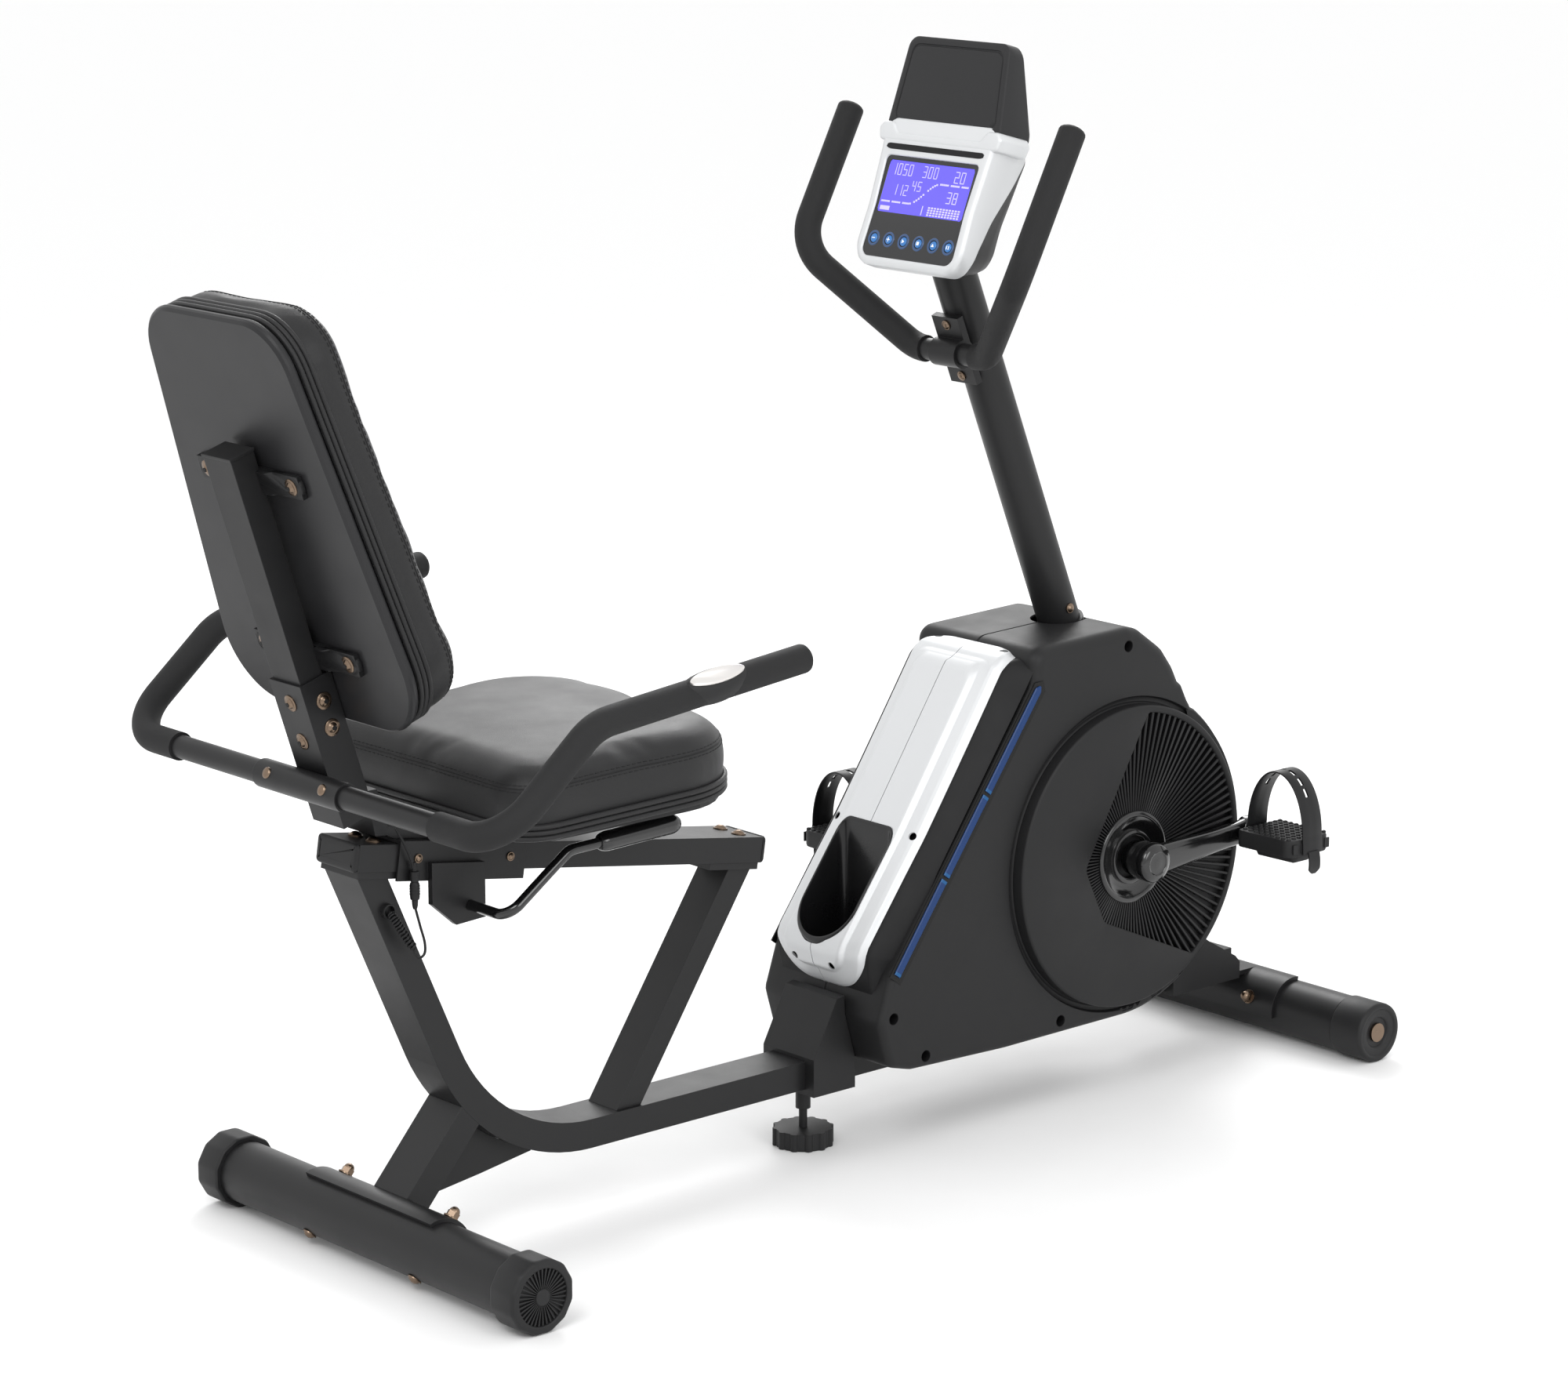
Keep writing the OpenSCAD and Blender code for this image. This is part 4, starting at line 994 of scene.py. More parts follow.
def cut_rear(obj, side):
    """Opens the rear of a half under the silver cover, the beam's way through and the mast's hole."""
    inside = [(296, 590), (285, 572), (285, 531), (64, 218), (64, 197), (18, 190), (20, 260), (120, 400),
              (246, 600)]
    cut(obj, loft([[(x, y, z) for x, z in inside] for y in (-79.6, 79.6)]))
    cut(obj, block((20, -31.5, 78), (700, 31.5, 114.5)))
    for spot in SCREW_SPOTS:
        cut(obj, turned(spot, [(7.4, 96), (7.4, 110)], 32, side))
    mast = [Vector((432.8 - along * 0.3795, 0, 577.6 + along * 0.9252)) for along in (-22, 40)]
    cut(obj, tube(mast, 33.5, 64))


def cut(obj, mesh_data):
    """Takes a closed mesh away from a piece."""
    tool = make(obj.name + "_cut", mesh_data, None, obj.data.materials[0], "black_plastic")
    mod = obj.modifiers.new("cut", "BOOLEAN")
    mod.operation = "DIFFERENCE"
    mod.solver = "EXACT"
    mod.object = tool
    apply_modifiers(obj)
    mesh = tool.data
    bpy.data.objects.remove(tool)
    bpy.data.meshes.remove(mesh)


def sharpen(obj, angle):
    """Flat-to-flat edges stay crisp after a cut; the rest shades smooth."""
    bm = bmesh.new()
    bm.from_mesh(obj.data)
    for f in bm.faces:
        f.smooth = True
    for e in bm.edges:
        e.smooth = not (len(e.link_faces) == 2 and e.calc_face_angle(0) > angle)
    bm.to_mesh(obj.data)
    bm.free()


for side in (1, -1):
    shroud_half(side)


def shroud_details():
    """Deep countersunk screw holes on both sides, in a darker black that is painted shade."""
    cup = [(7.6, 105.05), (7.0, 104.8), (6.8, 91), (3.4, 90.5), (3.2, 93), (2.4, 93.4)]
    wells = Shape(*(turned(spot, cup, 32, cap_first=False) for spot in SCREW_SPOTS)).mirrored()
    make("screw_wells", wells, "frame", painted_shade_plastic, "black_plastic", replaces=["shroud_screws"], sharp=0.9)


shroud_details()

# ---------------------------------------------------------------- side discs
DISC_R = 187.5
FAN_R = 180
FAN_POCKET = [(23, 178), (-82, -2), (-48, -75), (109, -145)]
HUB_OUT = 57


def disc_face():
    """A flat disc with a fan-shaped grille of radial fins between its hub and one side of its rim."""
    face = 119.5
    floor_level = 110.5
    (top_x, top_y), (low_x, low_y) = FAN_POCKET[0], FAN_POCKET[3]
    top_a, low_a = math.atan2(top_y, top_x), math.atan2(low_y, low_x)
    arc = [Vector((FAN_R * math.cos(a), FAN_R * math.sin(a)))
           for a in (low_a + (top_a - low_a) * k / 48 for k in range(49))]
    pocket = arc + [Vector(FAN_POCKET[1]), Vector(FAN_POCKET[2])]
    pocket = even(round_corners(pocket, {48: 7, 49: 16, 50: 16, 0: 7}, 2), 220)
    shift = Vector(CRANK)
    hole = [p + shift for p in pocket]
    plate = Shape(filled(circle(CRANK, DISC_R - 3.2, 160), [hole], face, side_view))
    edge = [(DISC_R - 3.2, face), (DISC_R - 1.6, face - 0.5), (DISC_R - 0.4, face - 1.7), (DISC_R, face - 3.2),
            (DISC_R, 103), (DISC_R - 4, 102)]
    plate.add(turned(CRANK, edge, 160, cap_first=False))
    wall = [(0, face), (0.9, face - 0.5), (1.4, face - 1.5), (1.4, floor_level)]
    plate.add(loft(stepped(hole, wall, side_view), cap_first=False))
    make("disc_plates", plate.mirrored(), "frame", shell_plastic, "black_plastic", replaces=["side_discs"],
         sharp=0.8)
    fins = Shape()
    inner = [p - n * 1.0 for p, n in zip(pocket, outward(pocket))]
    for k in range(109):
        a = math.radians(3.3 * k)
        d, n = Vector((math.cos(a), math.sin(a))), Vector((-math.sin(a), math.cos(a)))
        for span in spans_inside(inner, d, HUB_OUT - 1, FAN_R):
            if span[1] - span[0] < 4:
                continue
            section = []
            for r in span:
                half = 1.05 + 0.9 * (r - 50) / 130
                section.append([side_view(*(shift + d * r + n * half * t), level) for t, level in (
                    (-1, floor_level - 0.5), (-1, face - 2.4), (-0.55, face - 1.5), (0.55, face - 1.5),
                    (1, face - 2.4), (1, floor_level - 0.5))])
            fins.add(loft(section))
    make("disc_fins", fins.mirrored(), "frame", fin_plastic, "black_plastic", sharp=0.5)
    profile = [(HUB_OUT, face - 4), (HUB_OUT, face + 0.4), (HUB_OUT - 1, face + 1.4), (HUB_OUT - 5, face + 1.9),
               (HUB_OUT - 7, face + 1.2), (HUB_OUT - 9, face - 1.6), (HUB_OUT - 20, face - 3.0), (34, face - 3.4),
               (33, face + 0.2), (31, face + 1.0), (28, face + 0.9), (26.4, face - 0.4), (26.4, 103)]
    hub = Shape(turned(CRANK, profile, 96, cap_first=False, cap_last=False)).mirrored()
    make("disc_hubs", hub, "frame", gloss, "black_plastic", sharp=0.9)


def spans_inside(outline, d, low, high):
    """Where a ray from the origin runs inside an outline, between two radii."""
    cuts = []
    for p, q in zip(outline, outline[1:] + outline[:1]):
        e = q - p
        cross = d.x * e.y - d.y * e.x
        if abs(cross) < 1e-9:
            continue
        r = (p.x * e.y - p.y * e.x) / cross
        s = (p.x * d.y - p.y * d.x) / cross
        if 0 <= s < 1 and r > 0:
            cuts.append(r)
    cuts.sort()
    if len(cuts) % 2:
        cuts.insert(0, 0.0)
    return [(max(low, a), min(high, b)) for a, b in zip(cuts[::2], cuts[1::2]) if min(high, b) > max(low, a)]


disc_face()

# ---------------------------------------------------------------- silver cover, cup well and light strips
COVER_LINE = [(40, 187), (24.3, 244.6), (120, 374.3), (248.5, 565.2), (264, 577), (302, 579.5)]
COVER_BACK = [(80, 187), (80, 236), (132, 330), (292, 556), (300, 562), (303, 574)]
COVER_HALF = 80
COVER_LOW_R = 60
COVER_TOP_R = 46
# How far the surface falls at each distance in from the cover's rounded edge: panel, step, flange, lip, wall
COVER_FALL = [(0, 25), (0.5, 20.6), (1.4, 18.4), (2.8, 17.0), (4.6, 15.8), (6.2, 14.2), (7.6, 12.2), (9.2, 11.0),
              (14, 9.2), (24, 6.6), (27, 5.8), (28.6, 4.2), (30.2, 2.0), (32.2, 0.6), (35, 0), (500, 0)]
CUP_R = 46
CUP_FLOOR = 206


def cover_fall(distance):
    for (d0, f0), (d1, f1) in zip(COVER_FALL, COVER_FALL[1:]):
        if distance <= d1:
            return f0 + (f1 - f0) * (distance - d0) / (d1 - d0)
    return 0


def cover_grid():
    """Rows up the cover as (centre point, back point, distance up, whole length)."""
    line = [p.to_2d() for p in corner_path(COVER_LINE, [0, 22, 60, 26, 30, 0], 3)]
    length = walk(line, [])[1]
    near = [0, 0.5] + [1.2 * k for k in range(1, 50)]
    rows = near + [near[-1] + (length - 2 * near[-1]) * k / 40 for k in range(1, 40)]
    rows += [length - d for d in reversed(near)]
    shares = [r / length for r in rows]
    centre, behind = walk(line, shares)[0], walk([Vector(p) for p in COVER_BACK], shares)[0]
    return [(c, b, r, length) for c, b, r in zip(centre, behind, rows)]


def edge_inset(y, up, length):
    """Distance from a point of the cover to its rounded outline, and the half width there."""
    for from_end, radius in ((up, COVER_LOW_R), (length - up, COVER_TOP_R)):
        if from_end < radius:
            span = COVER_HALF - radius + math.sqrt(max(0, radius ** 2 - (radius - from_end) ** 2))
            y = y * span / COVER_HALF
            if y > COVER_HALF - radius:
                return y, radius - math.hypot(radius - from_end, y - (COVER_HALF - radius))
            return y, from_end
    return y, COVER_HALF - y


def cover_surface(side, sink=0.0):
    """One half of the cover's skin; sink moves it inwards and squares it off, for the bed behind."""
    across = [0.6, 6, 12, 17] + [18 + k for k in range(62)] + [79.5, 80]
    rings = []
    rows = cover_grid()
    if sink:
        rows = [(Vector((46, 168)), Vector((80, 168)), 0, rows[0][3])] + rows
    for centre, back, up, length in rows:
        d = back - centre
        depth = d.length
        d.normalize()
        row = []
        under = sink - 3.5 * smooth_step((60 - up) / 40)
        for y in across:
            if sink:
                row.append(side_view(*(centre + d * min(depth, under)), side * min(y, 79)))
                continue
            panel = edge_inset(y, min(up, length - 40), length - 36)[1]
            y, inset = edge_inset(y, up, length)
            inset = min(inset, max(14, panel))
            row.append(side_view(*(centre + d * min(cover_fall(max(0, inset)), depth + 1)), side * y))
        if sink:
            for y, drop in ((83, 0.12), (88, 0.42), (93, 0.72), (98, 1.02), (99, 1.1)):
                fall = min(depth, under) * (1 - drop) + drop * (depth + 2)
                row.append(side_view(*(centre + d * fall), side * y))
        rings.append(row)
    return loft(rings, cap_first=False, cap_last=False, closed=False)


def cover_half_mesh(side):
    """Half of the cover: a raised panel, a soft step and a flange with an outer lip, on a rounded outline."""
    name = "cover_left" if side > 0 else "cover_right"
    obj = make(name + "_panel", cover_surface(side), "frame", silver, "silver_plastic", replaces=[name],
               sharp=0.9)
    bm = bmesh.new()
    bm.from_mesh(obj.data)
    outer = sum(1 for f in bm.faces if f.normal.x * -0.8 + f.normal.z * 0.6 > 0)
    if outer * 2 < len(bm.faces):
        bmesh.ops.reverse_faces(bm, faces=bm.faces)
        bm.to_mesh(obj.data)
    bm.free()
    thicken(obj, 2.0)
    apply_modifiers(obj)
    cut(obj, prism(cup_plan(1.0), 246, 500))
    for x, z, y, normal in ((128, 371, 66, (-0.82, 0, 0.57)), (289, 562, 56, (-0.5, 0, 0.86)),
                            (34, 224, 32, (-0.95, 0, -0.2))):
        at, reach = Vector((x, side * y, z)), Vector(normal) * 26
        cut(obj, tube([at - reach, at + reach], 5, 24))
    sharpen(obj, 0.8)
    # painted shade: the bed behind the cover takes the darker black, standing in for the shade in the gap under the
    # cover
    bed = make(name + "_bed", cover_surface(side, 17.5), "frame", painted_shade_plastic, "black_plastic", sharp=0.9)
    cut(bed, prism(cup_plan(0.5), 236, 500))


def cup_plan(extra=0.0):
    """The cup opening seen from above: half round towards the rider, square corners behind."""
    reach, half = 29 + extra, CUP_R + extra
    front = [Vector((57 + reach * math.cos(t), half * math.sin(t)))
             for t in (math.pi / 2 + math.pi * k / 60 for k in range(61))]
    back = 121 + extra
    square = corner_path([(57, -half), (back, -half), (back, half), (57, half)], [0, 13, 13, 0], 2)
    return even(front + [p.to_2d() for p in square[1:-1]], 120)


for side in (1, -1):
    cover_half_mesh(side)


def cover_level(x, y):
    """Height of the cover's face over the cup at a plan point."""
    drop = 0 if abs(y) < 47 else 1.5
    return 244.6 + (x - 24.3) * (374.3 - 244.6) / (120 - 24.3) - drop


def tub_point(x, y, share):
    """A point of the tub's inside at a share of its depth; the wall leans back towards the floor."""
    x += 15 * share * (121 - x) / 93
    top = cover_level(x, y)
    return (x, y, max(CUP_FLOOR, top + (CUP_FLOOR - top) * share))


def cup_tub():
    """Black tub with a thin rim that follows the cover's face."""
    plan = cup_plan(0)
    rim = [(-0.8, -3), (-0.8, 0.8), (-0.4, 1.6), (0.8, 2.0), (1.9, 1.6), (2.2, 0.4)]
    rings = stepped(plan, rim, lambda x, y, lift: (x, y, cover_level(x, y) + lift))
    rings += stepped(plan, [(2.6, 0.15), (3.4, 0.5), (4.4, 0.85)], tub_point)
    rings += stepped(plan, [(6.5, CUP_FLOOR + 3), (9, CUP_FLOOR + 0.8), (13, CUP_FLOOR)],
                     lambda x, y, level: (tub_point(x, y, 1)[0], y, level))
    thicken(make("cup_tub", loft(rings, cap_first=False), "frame", cup_look, "black_plastic",
                 replaces=["cup_holder"], sharp=0.9), 2.0)


cup_look = surface("cup_plastic", (0.012, 0.012, 0.013), 0.3, grain=1500, bump=0.1, coat=0.2)
cup_tub()


def strip_quad(a, b, w0, w1, y0, y1, tip):
    """A bar between two side-view points, with a raised flat face and a pointed far end."""
    d = (b - a).normalized()
    n = Vector((-d.y, d.x))
    low = [a + n * w0, b + n * w0, b + n * (w0 + w1) / 2 + d * tip, b + n * w1, a + n * w1]
    return loft([[side_view(*p, level) for p in low] for level in (y0, y1)])


def light_strips():
    """A blue lens in three lengths, set in a channel down each side of the silver cover; the channel is near-black as
    painted shade of its recess.
    """
    top, low = Vector((290, 535)), Vector((61, 222))
    run = top - low
    d = run.normalized()
    n = Vector((-d.y, d.x))
    joints = [0.0, 0.34, 0.63, 1.0]
    profile = [(-1.4, 105.0), (-1.4, 106.4), (-2.6, 107.2), (-10.8, 107.2), (-12.0, 106.4), (-12.0, 105.0)]
    lens, ends = Shape(), Shape()
    # painted shade: the channel bed is drawn near-black for the shade of its recess
    bed = Shape(strip_quad(low - d * 4, top + d * 2, 2.6, -18.6, 103.6, 105.5, 9))
    for a, b in zip(joints, joints[1:]):
        p, q = low + run * (a + 0.006), low + run * (b - 0.006)
        rings = [[side_view(*(s + n * w), y) for w, y in profile] for s in (p, q)]
        if b == 1:
            rings.append([side_view(*(q + d * 5 + n * (-6.7 + (w + 6.7) * 0.2)), y) for w, y in profile])
        lens.add(loft(rings))
        for s, way in ((p, 1), (q, -1)):
            if b < 1 or way > 0:
                ends.add(loft([[side_view(*(s + d * t * way + n * w), y + 0.15 if y > 106 else y)
                                for w, y in profile] for t in (0.3, 4)]))
    for name, shape, look, slot, taken in (("light_lenses", lens, blue, "blue_plastic", ["light_strips"]),
                                           ("light_ends", ends, blue_edge, "blue_plastic", ()),
                                           ("light_channels", bed, channel_painted_shade, "black_plastic", ())):
        make(name, shape.mirrored(), "frame", look, slot, replaces=taken, sharp=0.5)


light_strips()

# ---------------------------------------------------------------- console
KEY_SPOTS = [((2.5 - i) * 25.2, 19.3) for i in range(6)]
FIGURE_BARS = {"0": "abcdef", "1": "bc", "2": "abged", "3": "abgcd", "4": "fgbc", "5": "afgcd", "8": "abcdefg"}
PANEL = tilt_frame(Vector((174.7, 0, 1043)), 21.24)


def on_panel(a, b, level):
    """A point in the console panel's frame: a across, b up the face, level towards the rider."""
    return tuple(PANEL @ Vector((-level, a, b)))


def panel_ring(points, level):
    return [on_panel(*p, level) for p in points]


def panel_slab(points, low, high):
    """A thin plate on the console's face."""
    return loft([panel_ring(points, low), panel_ring(points, high)])


def box_ring(a0, b0, a1, b1):
    return [(a0, b0), (a1, b0), (a1, b1), (a0, b1)]


CONSOLE_FACE = [(-92, 128), (-97, 166), (97, 166), (92, 128), (88, 60), (90, 10), (78, -13), (-78, -13), (-90, 10),
                (-88, 60)]


def console_shell():
    """The silver head: a sculpted front that wraps the panel and a rounded back over the mast."""
    outline = closed_outline(CONSOLE_FACE, [30, 20, 20, 30, 60, 30, 24, 24, 30, 60], 220)
    normals = outward(outline)

    def ring(inset, share):
        """Share 0 is the split line and 1 the back face, shrinking as it goes."""
        row = []
        for p, n in zip(outline, normals):
            q = p - n * min(inset, 6)
            split = -20 - 42 * smooth_step(p.y / 150)
            level = split + (-74 - split) * share
            shrink = (1 - 0.16 * max(0, (-level - 26)) / 48) * (1 - max(0, inset - 6) / 90)
            row.append(on_panel(q.x * shrink, (q.y - 70) * shrink + 70 + max(0, -level - 20) * 0.10, level))
        return row

    rear = [ring(*step) for step in ((26, 1), (14, 0.94), (8, 0.8), (4.5, 0.5), (3.2, 0.03), (2.6, 0))]
    make("console_back", loft(rear), "frame", black_plastic, "black_plastic", sharp=0.8)
    rings = [ring(2.4, 0.02), ring(0.9, 0.0), ring(0.3, -0.05)]
    rings += stepped(outline, [(0.0, -8), (0.0, -2), (1.2, 1.2), (3.2, 2.6), (6, 3.2)], on_panel)
    shape = Shape(loft(rings, cap_first=False, cap_last=False))
    inner = closed_outline([(-80, 121), (80, 121), (77, 60), (79, 4), (70, -4), (-70, -4), (-79, 4), (-77, 60)],
                           [8, 8, 60, 12, 12, 12, 12, 60], 200)
    shape.add(filled([p - n * 6 for p, n in zip(outline, normals)], [inner], 3.2, on_panel))
    shape.add(loft(stepped(inner, [(0, 3.2), (0.6, 3.0), (1.4, 2.0), (1.6, -2)], on_panel), cap_first=False,
                   cap_last=False))
    make("console_shell", shape, "frame", silver, "silver_plastic", replaces=["console_housing"], sharp=0.8)


def console_face():
    """Black control panel with a slot under the top band, drawn as a near-black slab of painted shade, the display
    window and six round key holes.
    """
    inner = closed_outline([(-79, 120), (79, 120), (76, 60), (78, 4.5), (69.5, -3.5), (-69.5, -3.5), (-78, 4.5),
                            (-76, 60)], [8, 8, 60, 12, 12, 12, 12, 60], 200)
    holes = [circle(spot, 6.1, 32) for spot in KEY_SPOTS]
    window = closed_outline([(-72.5, 50.5), (-72.5, 115.5), (72.5, 115.5), (72.5, 50.5)], [3, 3, 3, 3], 80)
    shape = Shape(filled(inner, holes + [window], 0.9, on_panel))
    for edge, depth in [(inner, -2.6)] + [(hole, -6) for hole in holes]:
        shape.add(loft([panel_ring(edge, 0.9), panel_ring(edge, depth)], cap_first=False))
    shape.add(loft(stepped(window, [(0, 0.9), (0.8, 0.7), (1.6, 0.0)], on_panel), cap_first=False,
                   cap_last=False))
    make("control_panel", shape, "frame", panel_gloss, "console_gloss", replaces=["console_panel"], sharp=0.7)
    glass = [p - n * 1.2 for p, n in zip(window, outward(window))]
    make("display", panel_slab(glass, -0.6, 0.25), "frame", screen_blue, "screen", replaces=["console_screen"],
         sharp=0.5)
    profile = [(9.4, 0.8), (9.0, 1.3), (8.4, 1.4), (7.2, 1.3), (6.2, 0.6)]
    rings = Shape(*(loft([panel_ring(circle(spot, r, 40), level) for r, level in profile], cap_first=False,
                         cap_last=False) for spot in KEY_SPOTS))
    make("key_rings", rings, "frame", key_ring_look, "console_gloss", sharp=0.9)
    # painted shade: a thin near-black slab fills the slot under the top band
    slot = closed_outline([(-84, 129), (-80, 133.5), (80, 133.5), (84, 129), (76, 126.4), (-76, 126.4)],
                          [2, 2, 2, 2, 2, 2], 80)
    make("band_slot", panel_slab(slot, 2.2, 3.7), "frame", painted_shade_plastic, "black_plastic", sharp=0.5)


key_ring_look = surface("key_ring", (0.02, 0.06, 0.16), 0.3, coat=0.5, grain=900, bump=0.05)


def keys():
    """Domed blue keys, each with its own plain raised sign, riding on the key's body."""
    bar = box_ring(-2.6, -0.5, 2.6, 0.5)
    signs = [
        [bar],
        [bar, box_ring(-0.5, 0.5, 0.5, 2.6), box_ring(-0.5, -2.6, 0.5, -0.5)],
        [[(-1.6, -2.4), (2.4, 0), (-1.6, 2.4)]],
        [box_ring(-2, -2, 2, 2)],
        [[(-2.4, -1.6), (2.4, -1.6), (0, 2.2)]],
        [box_ring(-2.2, -2.2, -1.0, 2.2), box_ring(1.0, -2.2, 2.2, 2.2)],
    ]
    profile = [(5.5, -3.6), (5.5, 0.4), (5.2, 1.0), (4.4, 1.4), (2.5, 1.55)]
    for number, (spot, sign) in enumerate(zip(KEY_SPOTS, signs), 1):
        key = loft([panel_ring(circle(spot, r, 36), level) for r, level in profile])
        name = "button_%d" % number
        make(name + "_cap", key, name, button_blue, "blue_plastic", replaces=[name], sharp=0.9)
        raised = Shape(*(panel_slab([Vector(spot) + Vector((-a, b)) for a, b in poly], 1.3, 1.75)
                         for poly in sign))
        make(name + "_sign", raised, name, icon_white, "blue_plastic", sharp=0.4)


def display_marks():
    """Seven-bar figures, a dashed line that climbs across and a block of small bars on the display."""
    marks = Shape()

    def mark(*corners):
        marks.add(panel_slab(box_ring(*corners), 0.2, 0.45))

    def figure(a, b, w, h, which):
        t = w * 0.16
        at = {"a": (0, h - t, w, h), "g": (0, h / 2 - t / 2, w, h / 2 + t / 2), "d": (0, 0, w, t),
              "f": (0, h / 2, t, h), "b": (w - t, h / 2, w, h), "e": (0, 0, t, h / 2), "c": (w - t, 0, w, h / 2)}
        for part in FIGURE_BARS[which]:
            x0, y0, x1, y1 = at[part]
            mark(a - x0, b + y0, a - x1, b + y1)

    for text, a, b, w, h in (("1050", 64, 97, 6.2, 14), ("300", 12, 97, 6.2, 14), ("20", -42, 95, 7.0, 14),
                             ("112", 54, 73, 6.0, 13), ("45", 24, 80, 6.0, 12), ("38", -38, 70, 7.0, 14)):
        for k, which in enumerate(text):
            figure(a - (w + 3) * k, b, w, h, which)
    for k in range(46):
        a = 69 - 3 * k
        b = 63.5 + 27 * smooth_step((24 - a) / 44)
        if k % 6 != 5:
            mark(a, b, a - 2.7, b + 2.2)
    for k in range(11):
        for row in range(4):
            mark(-12 - 5 * k, 53 + 2.9 * row, -12 - 5 * k - 3.4, 53 + 2.9 * row + 2)
    mark(68, 54, 52, 59)
    mark(-2, 53, -3.4, 64)
    make("display_marks", marks, "frame", segment_pale, "screen", sharp=0.4)


console_shell()
console_face()
keys()
display_marks()

# ---------------------------------------------------------------- media shelf
SHELF = tilt_frame(Vector((233, 0, 1199)), 15)
SHELF_EDGE = [(-96, -14), (96, -14), (84, 96), (-84, 96)]


def on_shelf(a, b, level):
    return tuple(SHELF @ Vector((level, a, b)))


def media_shelf():
    """A wedge-shaped holder: a framed front panel with a ledge at its foot and sides that narrow upwards."""
    outline = closed_outline(SHELF_EDGE, [6, 6, 16, 16], 200)
    normals = outward(outline)
    rings = []
    for inset, share in ((9, 1.0), (4, 0.985), (1.2, 0.95), (0, 0.88), (0, 0.12)):
        rings.append([on_shelf(*(p - n * inset), 1.5 + (52 - 29 * max(0, p.y) / 94 - 1.5) * share)
                      for p, n in zip(outline, normals)])
    for inset, level, radius in ((0.4, 1.4, 15), (1.8, 0.3, 14), (5, 0, 13), (8.6, 0, 12), (9.4, 1.3, 12),
                                 (10.6, 1.3, 12), (11.4, 0.2, 12), (14, 0, 11)):
        foot = max(6 - inset, 9 if inset > 8 else 2)
        inner = closed_outline(inset_corners(SHELF_EDGE, inset), [foot, foot, radius, radius], 200)
        rings.append([on_shelf(*p, level) for p in inner])
    make("shelf_board", loft(rings), "frame", shelf_look, "black_plastic", replaces=["media_shelf"], sharp=0.7)
    notch = [(-103, -15), (-96, -7), (-79, -7), (-69, -19), (69, -19), (79, -7), (96, -7), (103, -15), (99, -30),
             (-99, -30)]
    band = closed_outline(notch, [5, 6, 6, 6, 6, 6, 6, 5, 6, 6], 200)
    profile = [(3, 47), (0, 44), (0, -1), (0.6, -3), (2, -4.2), (4, -4.6)]
    make("console_band", loft(stepped(band, profile, on_shelf)), "frame", silver, "silver_plastic", sharp=0.7)


shelf_look = surface("shelf_plastic", (0.03, 0.03, 0.032), 0.5, grain=1400, bump=0.6, depth=0.0003)
media_shelf()

# ---------------------------------------------------------------- pedals and cranks
CRANK_LEN = 172
CRANK_RISE = math.radians(3.8)
PEDAL_IN, PEDAL_OUT = 166, 254
STRAP_STEPS = 150


def pedal(sign):
    """One pedal: a studded block with a weighted base, and a slotted strap with a hanging tail."""
    rise = CRANK_LEN * math.cos(CRANK_RISE), CRANK_LEN * math.sin(CRANK_RISE)
    end = Vector((CRANK[0] + sign * rise[0], CRANK[1] + sign * rise[1]))
    mid = (PEDAL_IN + PEDAL_OUT) / 2

    def at(a, b, level):
        """a across the pedal (forward), b outward from the middle, level above the axle."""
        return (end.x + a, -sign * (mid + b), end.y + level)

    plan = closed_outline([(-39, -44), (39, -44), (36, 44), (-36, 44)], [7, 7, 14, 14], 96)
    base = closed_outline([(-20, -32), (20, -32), (17, 32), (-17, 32)], [6, 6, 6, 6], 60)
    block_steps = [(3, -12), (0.8, -11.2), (0, -9), (0, 7.5), (0.9, 9.4), (3, 10)]
    base_steps = [(6, -24), (3, -23), (0, -17), (-1, -11)]
    body = Shape(loft(stepped(plan, block_steps, at)), loft(stepped(base, base_steps, at)))
    for a in (-31.5 + 9 * i for i in range(8)):
        for b in (-36 + 9 * j for j in range(9)):
            body.add(loft([[at(a + r * math.cos(t), b + r * math.sin(t), level) for t in angles(8)]
                           for r, level in ((3.1, 9.6), (2.7, 11.4), (1.8, 12.0))]))
    for s in (-1, 1):
        for a in (-28 + 14 * i for i in range(5)):
            body.add(loft([[at(a + x, s * (44 + d), z) for x, z in ((-4, -7), (4, -7), (4, 5), (-4, 5))]
                           for d in (-1, 1.1)]))
    name = "left" if sign < 0 else "right"
    make(name + "_pedal_block", body, name + "_pedal", pedal_look, "black_plastic", replaces=["pedal_" + name],
         sharp=0.7)
    strap(name, at)


